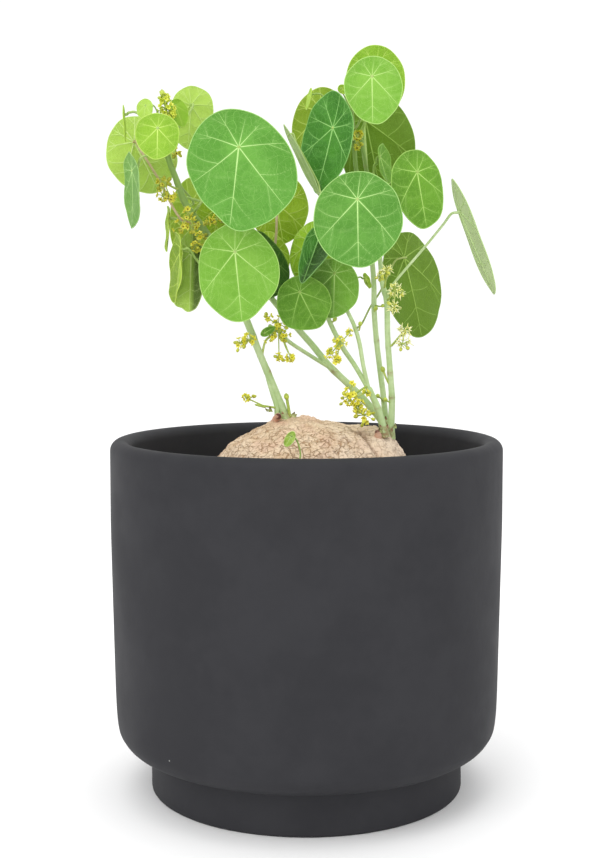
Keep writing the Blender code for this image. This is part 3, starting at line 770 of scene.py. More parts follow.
@dataclass
class Run:
    """A round tube's path and radii in millimetres. A closed run is a loop. marks are a number
    for each point of the path, and across is how far across its blade the point lies."""

    path: Array
    radii: Array
    marks: Array | None = None
    across: Array | None = None
    closed: bool = False

    @classmethod
    def through(cls, rows: Any, steps: int) -> "Run":
        """A smooth run through rows of x, y, z and radius, without marks."""
        rows = smooth_path(rows, steps)
        return cls(rows[:, :3], rows[:, 3], np.zeros(len(rows)))


def model_tubes(name: str, runs: Sequence[Run], roundness: int) -> Piece:
    """Round tubes along paths: one curve with a bevel and filled ends, made a mesh.

    Args:
        name: The object's name.
        runs: The tubes.
        roundness: The bevel's resolution; 0 gives four sides and 4 gives twelve.

    Returns:
        The tubes as one mesh.
    """
    curve = start(bpy.ops.curve.primitive_nurbs_path_add, name, radius=MM).data
    curve.splines.clear()
    curve.dimensions = "3D"
    for run in runs:
        spline = curve.splines.new("POLY")
        spline.points.add(len(run.path) - 1)
        places = np.hstack([run.path * MM, np.ones((len(run.path), 1))])
        spline.points.foreach_set("co", places.astype(np.float32).ravel())
        spline.points.foreach_set("radius", np.asarray(run.radii, np.float32))
        spline.use_cyclic_u = run.closed
    curve.bevel_depth = MM
    curve.bevel_resolution = roundness
    curve.use_fill_caps = True
    bpy.ops.object.convert(target="MESH")
    obj = added(name)
    outward(obj, 0.002)
    return obj


def nearest(places: Array, runs: Sequence[Run]) -> Array:
    """Number of the runs' point that is nearest to each place, counted through all the runs."""
    axis = np.vstack([run.path for run in runs])
    return np.array([int(np.argmin(((axis - place) ** 2).sum(axis=1))) for place in places])


def unit(vector: Any) -> Array:
    """The vector at length one."""
    vector = np.asarray(vector, float)
    return vector / np.linalg.norm(vector)


def smooth_path(points: Any, steps: int, first_tangent: Array | None = None) -> Array:
    """Points on a smooth curve through the given rows.

    Args:
        points: Rows of numbers, of which the first three are a place.
        steps: Points to each stretch.
        first_tangent: Direction in which the curve starts.

    Returns:
        The curve's rows.
    """
    points = np.asarray(points, float)
    tangents = np.empty_like(points)
    tangents[1:-1] = (points[2:] - points[:-2]) / 2
    tangents[0] = points[1] - points[0]
    tangents[-1] = points[-1] - points[-2]
    if first_tangent is not None:
        tangents[0] = first_tangent * np.linalg.norm(points[1] - points[0])
    rows = [points[0]]
    for k in range(len(points) - 1):
        for s in np.linspace(0, 1, steps + 1)[1:]:
            first = 2 * s**3 - 3 * s**2 + 1
            row = first * points[k] + (s**3 - 2 * s**2 + s) * tangents[k]
            rows.append(row + (1 - first) * points[k + 1] + (s**3 - s**2) * tangents[k + 1])
    return np.array(rows)


def hand_over(piece: Piece, slot: str, *nodes: str) -> None:
    """Put a finished piece on the body and let it stand for its nodes.

    Args:
        piece: The finished piece.
        slot: The name of its material slot; not used.
        *nodes: The nodes of the frame that it replaces.
    """
    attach(piece, "root")
    if nodes:
        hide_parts(*nodes)
    triangles = sum(len(face.vertices) - 2 for face in piece.data.polygons)
    log.info("%s: %d triangles, stands for %s", piece.name, triangles, ", ".join(nodes) or "nothing")


# Branches


STEM_ROWS: dict[str, list[Row]] = {
    "A": [
        (-8.2, -3.0, 144.35, 1.5), (-12.75, -3.2, 155.7, 1.38), (-17.9, -4.0, 168.0, 1.36),
        (-22.7, -5.0, 180.5, 1.4), (-28.4, -6.0, 194.5, 1.4), (-33.6, -7.0, 206.5, 1.38),
        (-39.2, -8.0, 215.5, 1.3), (-45.0, -8.0, 223.5, 1.25), (-48.8, -8.0, 233.5, 1.15),
        (-51.6, -9.0, 241.5, 1.0), (-53.5, -9.0, 253.0, 0.85),
    ],
    "B": [
        (29.5, 1.5, 141.0, 1.4), (25.0, 3.0, 146.5, 1.4), (19.5, 4.0, 152.5, 1.35),
        (9.0, 5.0, 162.5, 1.3), (2.1, 6.0, 170.8, 1.25), (-4.8, 7.0, 178.5, 1.2),
        (-13.0, 8.0, 188.0, 1.15), (-20.0, 8.0, 197.5, 1.1), (-23.5, 6.0, 211.0, 1.05),
        (-25.0, 2.0, 226.0, 0.95),
    ],
    "b": [
        (9.0, 5.0, 162.0, 0.8), (1.0, 3.0, 167.0, 0.75), (-6.5, 1.0, 172.0, 0.75),
        (-10.0, 0.0, 175.5, 0.7), (-14.5, 0.0, 178.5, 0.65),
    ],
    "base": [
        (29.2, -7.0, 139.2, 1.4), (27.1, -6.0, 147.0, 1.3), (23.5, -4.5, 155.0, 1.2),
    ],
    "C": [
        (23.5, -4.5, 154.5, 0.95), (18.5, -3.0, 163.0, 0.9), (13.5, -1.5, 170.5, 0.95),
        (8.5, 0.0, 180.5, 0.9), (5.0, 0.0, 190.0, 0.85), (2.5, 0.0, 199.5, 0.8),
    ],
    "c": [
        (23.5, -4.5, 154.5, 0.85), (21.5, -5.0, 163.5, 0.8), (20.0, -4.5, 172.0, 0.8),
        (18.0, -4.0, 178.5, 0.75), (15.0, -3.0, 185.0, 0.75), (12.5, -2.0, 192.0, 0.7),
    ],
    "D": [
        (31.0, 6.5, 138.3, 1.25), (30.0, 6.0, 149.5, 1.15), (28.5, 6.0, 161.0, 1.1),
        (27.0, 5.0, 172.5, 1.05), (26.0, 4.0, 184.0, 1.05), (25.8, 3.0, 194.0, 1.0),
        (24.8, 2.0, 205.0, 0.95), (22.8, 2.0, 220.5, 0.9), (19.0, 2.0, 236.5, 0.85),
        (18.0, 2.0, 248.5, 0.85), (17.0, 2.0, 259.5, 0.75),
    ],
    "E": [
        (32.3, -2.0, 138.4, 1.4), (32.7, -1.5, 150.0, 1.25), (31.9, -1.0, 161.5, 1.15),
        (31.0, 0.0, 174.5, 1.1), (30.6, 0.0, 187.5, 1.1), (28.9, 2.0, 194.8, 0.95),
        (28.0, 6.0, 207.0, 0.9), (26.5, 8.0, 220.5, 0.85), (23.0, 9.0, 238.0, 0.8),
        (21.0, 9.0, 250.0, 0.7),
    ],
}


@dataclass
class Branch:
    """A stem's axis as rows of x, y, z and radius."""

    rows: Sequence[Row]

    def at(self, place: float) -> tuple[Array, Array, float]:
        """A place on the branch.

        Args:
            place: Share of the branch's rows, from 0 to 1.

        Returns:
            The point, the direction of growth and the radius there.
        """
        rows = smooth_path(self.rows, 2)
        at = min(max(place, 0.0), 1.0) * (len(rows) - 1)
        k = min(int(at), len(rows) - 2)
        here = rows[k] + (at - k) * (rows[k + 1] - rows[k])
        return here[:3], unit(rows[k + 1][:3] - rows[k][:3]), float(here[3])

    def joint(self, place: float, towards: Any, radius: float) -> Array:
        """Where a stalk ends beside the branch.

        Args:
            place: Share of the branch's rows.
            towards: The point that it comes from.
            radius: The stalk's radius.

        Returns:
            The stalk's end, then the point on the branch's axis that it grows from.
        """
        point, ahead, stem_radius = self.at(place)
        out = np.asarray(towards, float) - point
        out = unit(out - np.dot(out, ahead) * ahead)
        if place >= 1.0:
            return np.array([point + unit(out + 2 * ahead) * (radius + 0.2), point])
        return np.array([point + out * (stem_radius + radius + 0.2), point])


BRANCHES: dict[str, Branch] = {key: Branch(rows) for key, rows in STEM_ROWS.items()}


# Leaves


CURVE_OUT = 1.3
CURVE_FORK = 0.75


@dataclass
class Vein:
    """A vein in the blade: directions from the midrib in degrees, shares of the way to the edge,
    and its thickness at both ends beside the midrib's."""

    start: float
    begins: float
    end: float
    ends: float
    thick: float
    thin: float

    def turn(self, way: Any) -> Any:
        """Its direction at this share of its length. Veins from the hub and forks bow apart."""
        bow = CURVE_FORK if self.begins else CURVE_OUT
        return self.start + (self.end - self.start) * way**bow


MIDRIB = Vein(0, 0.0, 0, 0.97, 1.1, 0.5)
PAIRED_VEINS = [
    Vein(0, 0.62, 20, 0.96, 0.62, 0.42),
    Vein(0, 0.84, 9, 0.97, 0.5, 0.4),
    Vein(0, 0.4, 31, 0.6, 0.42, 0.34),
    Vein(44, 0.0, 43, 0.97, 0.84, 0.5),
    Vein(44, 0.45, 80, 0.96, 0.62, 0.42),
    Vein(44, 0.7, 60, 0.97, 0.52, 0.4),
    Vein(44, 0.62, 31, 0.96, 0.5, 0.4),
    Vein(104, 0.0, 103, 0.97, 0.76, 0.46),
    Vein(104, 0.62, 91, 0.96, 0.56, 0.42),
    Vein(104, 0.72, 116, 0.96, 0.5, 0.4),
    Vein(144, 0.0, 144, 0.97, 0.7, 0.44),
    Vein(144, 0.66, 157, 0.96, 0.5, 0.4),
    Vein(144, 0.6, 130, 0.96, 0.5, 0.4),
]
BASE_VEIN = Vein(174, 0.0, 172, 0.96, 0.66, 0.42)

# Places in a blade: distances across it and towards its tip, angles round its middle, and shares
# of the way from its hub to its edge.
Places = tuple[Array, Array, Array, Array]
# A link of the net: the directions and the shares of its start, its middle and its end.
Link = tuple[Sequence[float], Sequence[float]]


@dataclass
class Leaf:
    """A peltate leaf: a round blade, its veins and margin, and the petiole that meets it inside
    its edge.

    hub is where they meet. length and width are the blade's. branch and place say where the
    petiole leaves a stem. roll swings the tip to the right of straight down, turn turns the face
    to the right of the viewer and tilt tips it up. share is the hub's place along the length, egg
    how much wider the base is, off how far the blade's middle lies from the hub, point how far the
    tip is drawn out, fold the angle of each half and rib the midrib's lean. dusk is painted shade:
    how much darker the right half is painted than the left one, or the left one where it is
    negative. shade is painted shade too, how much darker the whole blade is painted. veined is how
    clearly its veins show. lobes are how far the edge lies beyond its oval, in hundredths of the
    way from the hub, every 30 degrees from the base round by the left. flat leaves have no cup and
    hardly any waves. via are the points along the petiole, and thick is how thick it is beside the
    usual.
    """

    name: str
    hub: Point
    length: float
    width: float
    branch: str
    place: float
    tone: LeafTone
    roll: float = 0
    turn: float = 0
    tilt: float = 0
    share: float = 0.3
    egg: float = 0
    off: float = 0
    point: float = 0.03
    fold: float = 0
    rib: float = 0
    painted_shade: float = 0
    shade: float = 0
    veined: float = 1
    lobes: tuple[float, ...] = (0,) * 12
    flat: bool = False
    via: list[Point] = field(default_factory=list)
    stalk: StemFinish = PETIOLE_GREEN
    thick: float = 1

    SMALL_BELOW = 12
    FINE_FROM = 16
    THICKNESS = 0.16
    SET_IN = 0.2
    SHEET = 50
    NET_LEVELS = (0.34, 0.5, 0.66, 0.8, 0.92)
    NET_LEAST_GAP = 6
    NET_SPUR_REACH = 15
    NET_EDGE = 0.985

    def __post_init__(self) -> None:
        """Settle what follows from the length, and the table of directions round the hub."""
        self.number = int(self.name[-2:])
        self.small = self.length < self.SMALL_BELOW
        self.cup = 0.0 if self.flat else 0.04 * self.length
        self.wave = (0.004 if self.flat else 0.018) * self.length
        self.petiole_radius = self.thick * (0.3 if self.small else 0.48)
        self.vein_radius = 0.24 if self.small else 0.3 if self.length < 24 else 0.34
        around = [(30.0 * k - 180, self.lobes[k % 12] / 100, 0) for k in range(-1, 14)]
        self.swell = smooth_path(around, 8)
        angles = np.linspace(-math.pi, math.pi, 721)
        u, v = self.edge(angles)
        turns = np.unwrap(np.arctan2(u, v))
        self.directions = (turns, angles)
        self.middle = float(np.interp(0.0, angles, turns)) + math.radians(self.rib)

    def axes(self) -> tuple[Array, Array, Array]:
        """Directions across the blade, towards its tip, and out of its face.

        Returns:
            Three directions of length 1.
        """
        roll, turn, tilt = np.radians([self.roll, self.turn, self.tilt])
        tip = np.array([math.sin(roll), 0, -math.cos(roll)])
        across = np.array([math.cos(roll), 0, math.sin(roll)])
        face = np.array([0, -1.0, 0])
        turned = face * math.cos(turn) + across * math.sin(turn)
        across = across * math.cos(turn) - face * math.sin(turn)
        face = turned * math.cos(tilt) - tip * math.sin(tilt)
        tip = tip * math.cos(tilt) + turned * math.sin(tilt)
        return across, tip, face

    def edge(self, angle: Array) -> tuple[Array, Array]:
        """The edge in the blade's plane: an oval with its lobes and small waves.

        Args:
            angle: Angles from the tip round the blade's middle.

        Returns:
            Distances across and towards the tip, from the hub.
        """
        c = np.cos(angle)
        v = self.length * (0.5 - self.share) + self.length / 2 * c
        v = v + self.point * self.length * ((1 + c) / 2) ** 8
        u = self.width * (self.off + 0.5 * np.sin(angle) * (1 - self.egg * c))
        phase = self.hub[0] + self.hub[2]
        out = 1 + 0.006 * np.sin(5 * angle + 2 * phase) + 0.005 * np.sin(9 * angle + 3 * phase)
        turned = (np.degrees(angle) + 180) % 360 - 180
        out = out + np.interp(turned, self.swell[:, 0], self.swell[:, 1])
        return u * out, v * out

    def polar(self, turn: Array, share: Array) -> Places:
        """Places in the blade by direction.

        Args:
            turn: Directions from the midrib in degrees.
            share: Shares of the way from the hub to the edge.

        Returns:
            The places.
        """
        turns, angles = self.directions
        wanted = np.radians(turn) + self.middle
        wanted = (wanted - turns[0]) % (2 * math.pi) + turns[0]
        angle = np.interp(wanted, turns, angles)
        u, v = self.edge(angle)
        return u * share, v * share, angle, share

    def lay(self, places: Places, lift: Any) -> Array:
        """Points in space on the cupped and waved blade.

        Args:
            places: Places in the blade.
            lift: How far the points lie forward of it.

        Returns:
            The points.
        """
        u, v, angle, share = places
        rise = self.cup * share**2 + math.tan(math.radians(self.fold)) * np.abs(u)
        phase = self.hub[0] * 0.7 + self.hub[2] * 0.3
        w = rise + self.wave * share**3 * np.sin(5 * angle + phase) - self.SET_IN + lift
        across, tip, face = self.axes()
        return np.array(self.hub, float) + np.outer(u, across) + np.outer(v, tip) + np.outer(w, face)

    @cached_property
    def veins(self) -> list[Vein]:
        """The main veins, fewer on a small leaf, each wandering a little from the pattern.

        Returns:
            The veins, the midrib first.
        """
        rng = np.random.default_rng(SEED + self.number)
        chosen = [MIDRIB]
        for side in (1, -1):
            parent = MIDRIB
            for vein in PAIRED_VEINS:
                if self.small and (vein.begins or vein.start > 120):
                    continue
                end = side * vein.end + rng.uniform(-3.5, 3.5)
                first = parent.turn(vein.begins) if vein.begins else side * vein.start
                one = Vein(first, vein.begins, end, vein.ends, vein.thick, vein.thin)
                parent = parent if vein.begins else one
                chosen.append(one)
        return chosen if self.small else [*chosen, BASE_VEIN]

    def trace(self, vein: Vein, steps: int) -> Places:
        """This many places along a vein."""
        t = np.linspace(0, 1, steps)
        return self.polar(vein.turn(t), vein.begins + (vein.ends - vein.begins) * t)

    @cached_property
    def ribs(self) -> Array:
        """The main veins' places in the blade's plane, from which its quilting is measured."""
        return np.vstack([np.column_stack(self.trace(vein, 40)[:2]) for vein in self.veins])

    def nearest_rib(self, places: Places) -> Array:
        """Distance of each place to the nearest main vein."""
        here = np.column_stack(places[:2])
        return np.array([np.linalg.norm(self.ribs - row, axis=1).min() for row in here])

    def quilting(self, near: Array, share: Array) -> Array:
        """How far the blade bulges between its veins."""
        depth = (0.001 if self.flat else 0.0095) * self.length
        return depth * (1 - np.exp(-((near / (0.05 * self.length)) ** 2))) * (1 - 0.5 * share**4)

    def painted_shade_across(self, u: Array) -> Array:
        """How much painted shade darkens the blade at each distance across it, from 0 to 1."""
        side = np.clip(np.sign(self.painted_shade) * u / 2.2 + 0.15, 0, 1)
        return np.maximum(self.shade, abs(self.painted_shade) * side)

    def blade(self, patterns: dict[bool, Piece]) -> Piece:
        """The blade: a disc moved to this leaf's outline, quilted and given its thickness.

        Args:
            patterns: The flat discs: True is the one for large leaves.

        Returns:
            The blade.
        """
        obj = own_copy(patterns[self.length >= self.FINE_FROM], f"{self.name}_skin")
        disc = points_of(obj) * MM
        share = np.hypot(disc[:, 0], disc[:, 1])
        angle = np.arctan2(-disc[:, 0], disc[:, 1])
        u, v = self.edge(angle)
        places = (u * share, v * share, angle, share)
        near = self.nearest_rib(places)
        move_points(obj, self.lay(places, self.quilting(near, share)))
        write_numbers(obj, "reach", share)
        write_numbers(obj, "vein_near", near)
        # painted shade on the blade, kept for its material
        write_numbers(obj, "painted_shade", self.painted_shade_across(places[0]))
        write_numbers(obj, "strength", np.full(len(u), 0.6 * self.veined))
        corners = np.empty(len(obj.data.loops), np.int32)
        obj.data.loops.foreach_get("vertex_index", corners)
        sheet = np.column_stack(places[:2])[corners] / self.SHEET + 0.5
        plane = obj.data.uv_layers.new(name="leaf_plane")
        plane.data.foreach_set("uv", sheet.astype(np.float32).ravel())
        back, rim = blade_material(self.tone, True), vein_material(self.tone)
        wear(obj, blade_material(self.tone, False), back, rim)
        sides = {"offset": -1.0, "material_offset": 1, "material_offset_rim": 2}
        apply_modifier(obj, "SOLIDIFY", thickness=self.THICKNESS * MM, **sides)
        smooth(obj, 60)
        return obj

    def tubes(self, part: str, runs: list[Run], roundness: int) -> Piece:
        """Veins as tubes that know how strongly they show.

        Args:
            part: What they are.
            runs: Their paths, with how pale each point is and how far across the blade.
            roundness: The bevel's resolution.

        Returns:
            The tubes as one mesh.
        """
        obj = model_tubes(f"{self.name}_{part}", runs, roundness)
        near = nearest(points_of(obj), runs)
        write_numbers(obj, "strength", self.veined * np.concatenate([run.marks for run in runs])[near])
        # the same painted shade as the blade beside them
        write_numbers(obj, "painted_shade", self.painted_shade_across(np.concatenate([run.across for run in runs]))[near])
        return dress(obj, vein_material(self.tone), 70)

    def on_skin(self, places: Places, radius: float, marks: Array, closed: bool = False) -> Run:
        """A thin run inside the quilted blade.

        Args:
            places: Its path in the blade.
            radius: Its radius.
            marks: How strongly it shows along its path.
            closed: True for a loop.

        Returns:
            The run.
        """
        lift = self.quilting(self.nearest_rib(places), places[3]) - self.THICKNESS / 2
        return Run(self.lay(places, lift), np.full(len(marks), radius), marks, places[0], closed)

    def raised_veins(self) -> Piece:
        """The veins that stand out of both faces, the margin's cord, and the net between them.

        Returns:
            The veins, the cord and the net as one mesh.
        """
        runs = []
        for vein in self.veins:
            places = self.trace(vein, 14)
            radii = self.vein_radius * np.linspace(vein.thick, vein.thin, 14)
            marks = (0.78 if vein.begins else 1.1) * (1 - 0.35 * places[3])
            path = self.lay(places, -(self.THICKNESS / 2 + 0.3 * radii))
            runs.append(Run(path, radii, marks, places[0]))
        cord, count = (0.15, 60) if self.small else (0.18, 90)
        angle = np.linspace(0, 2 * math.pi, count, endpoint=False)
        u, v = self.edge(angle)
        share = 1 - 0.6 * cord / np.hypot(u, v)
        margin = (u * share, v * share, angle, share)
        runs.append(self.on_skin(margin, cord, np.full(count, 0.6), closed=True))
        made = [self.tubes("veins", runs, 1)]
        if not self.small and not self.flat:
            fine = []
            for turns, shares in self.links():
                t = np.linspace(0, 2, 5)
                share = np.interp(t, (0, 1, 2), shares)
                places = self.polar(np.interp(t, (0, 1, 2), turns), share)
                fine.append(self.on_skin(places, 0.12, 0.26 * (1 - 0.3 * share)))
            made.append(self.tubes("net", fine, 0))
        return join(made, f"{self.name}_veins")

    def links(self) -> list[Link]:
        """Thin links between neighbouring veins, spurs from one ring of links to the next, and
        forks that reach the margin.

        Returns:
            Where each link runs.
        """
        rng = np.random.default_rng(SEED + 100 + self.number)
        links: list[Link] = []
        inner: list[tuple[float, float]] = []
        for level in self.NET_LEVELS:
            through = [vein for vein in self.veins if vein.begins < level < vein.ends]
            ways = [(level - vein.begins) / (vein.ends - vein.begins) for vein in through]
            crossing = sorted(vein.turn(way) % 360 for vein, way in zip(through, ways))
            middles = []
            for first, second in zip(crossing, crossing[1:] + [crossing[0] + 360]):
                if second - first < self.NET_LEAST_GAP:
                    continue
                turn = first + (second - first) * rng.uniform(0.38, 0.62)
                middle = (turn, min(0.96, level + rng.uniform(0.01, 0.05)))
                ends = np.clip(level + rng.uniform(-0.04, 0.04, 2), 0.05, 0.97)
                if rng.random() > 0.1:
                    links.append(((first, turn, second), (ends[0], middle[1], ends[1])))
                middles.append(middle)
            for turn, share in inner:
                gaps = [abs(turn - other) for other, _ in middles]
                if gaps and min(gaps) < self.NET_SPUR_REACH:
                    goal, out = middles[int(np.argmin(gaps))]
                    between = (turn + goal) / 2 + rng.uniform(-2.5, 2.5)
                    links.append(((turn, between, goal), (share, (share + out) / 2, out)))
            inner = middles
        for turn, share in inner:
            turns = (turn, turn + rng.uniform(-2, 2), turn + rng.uniform(-4, 4))
            links.append((turns, (share, 0.96, self.NET_EDGE)))
        for vein in self.veins:
            for way in (-3.6, 3.6):
                turns = (vein.end, vein.end + way * 0.7, vein.end + way)
                links.append((turns, (vein.ends - 0.06, vein.ends, self.NET_EDGE)))
        return links

    def petiole(self) -> Piece:
        """The stalk from the hub to the stem, flared at both ends, with a boss on the blade.

        Returns:
            The stalk.
        """
        face = self.axes()[2]
        hub = np.array(self.hub, float)
        behind = hub - face * 1.2
        via = [np.array(p, float) for p in self.via]
        radius = self.petiole_radius
        if self.branch == "caudex":
            ends = [np.array(SPROUT_FOOT), np.array(SPROUT_FOOT) - (0, -2.5, 1.2)]
        else:
            before = via[-1] if via else behind - face * 3
            ends = BRANCHES[self.branch].joint(self.place, before, radius)
        path = smooth_path([behind, *via, ends[0]], 9, -face)
        path = np.vstack([hub - face * (self.SET_IN + 0.1), path, ends[1]])
        along = np.concatenate([[0], np.cumsum(np.linalg.norm(np.diff(path, axis=0), axis=1))])
        left = along[-1] - along
        radii = radius * (1 + 0.3 * np.exp(-along / 0.8) + 0.4 * np.exp(-((left / 2.4) ** 2)))
        boss = np.array([hub - face * (self.SET_IN + back) for back in (0.5, -0.06, -0.3)])
        cap = np.array([1.3, 1.25, 0.45]) * radius
        stalk = model_tubes(f"{self.name}_petiole", [Run(path, radii), Run(boss, cap)], 2)
        return dress(stalk, stem_material(self.stalk))

    def build(self, patterns: dict[bool, Piece]) -> None:
        """Model the leaf and let it stand for its node.

        Args:
            patterns: The discs that blades start from, by whether they are the fine one.
        """
        parts = [self.blade(patterns), self.raised_veins(), self.petiole()]
        hand_over(join(parts, f"{self.name}_blade"), "leaf", self.name)


SPROUT_FOOT = (-3.5, -35.0, 127.2)

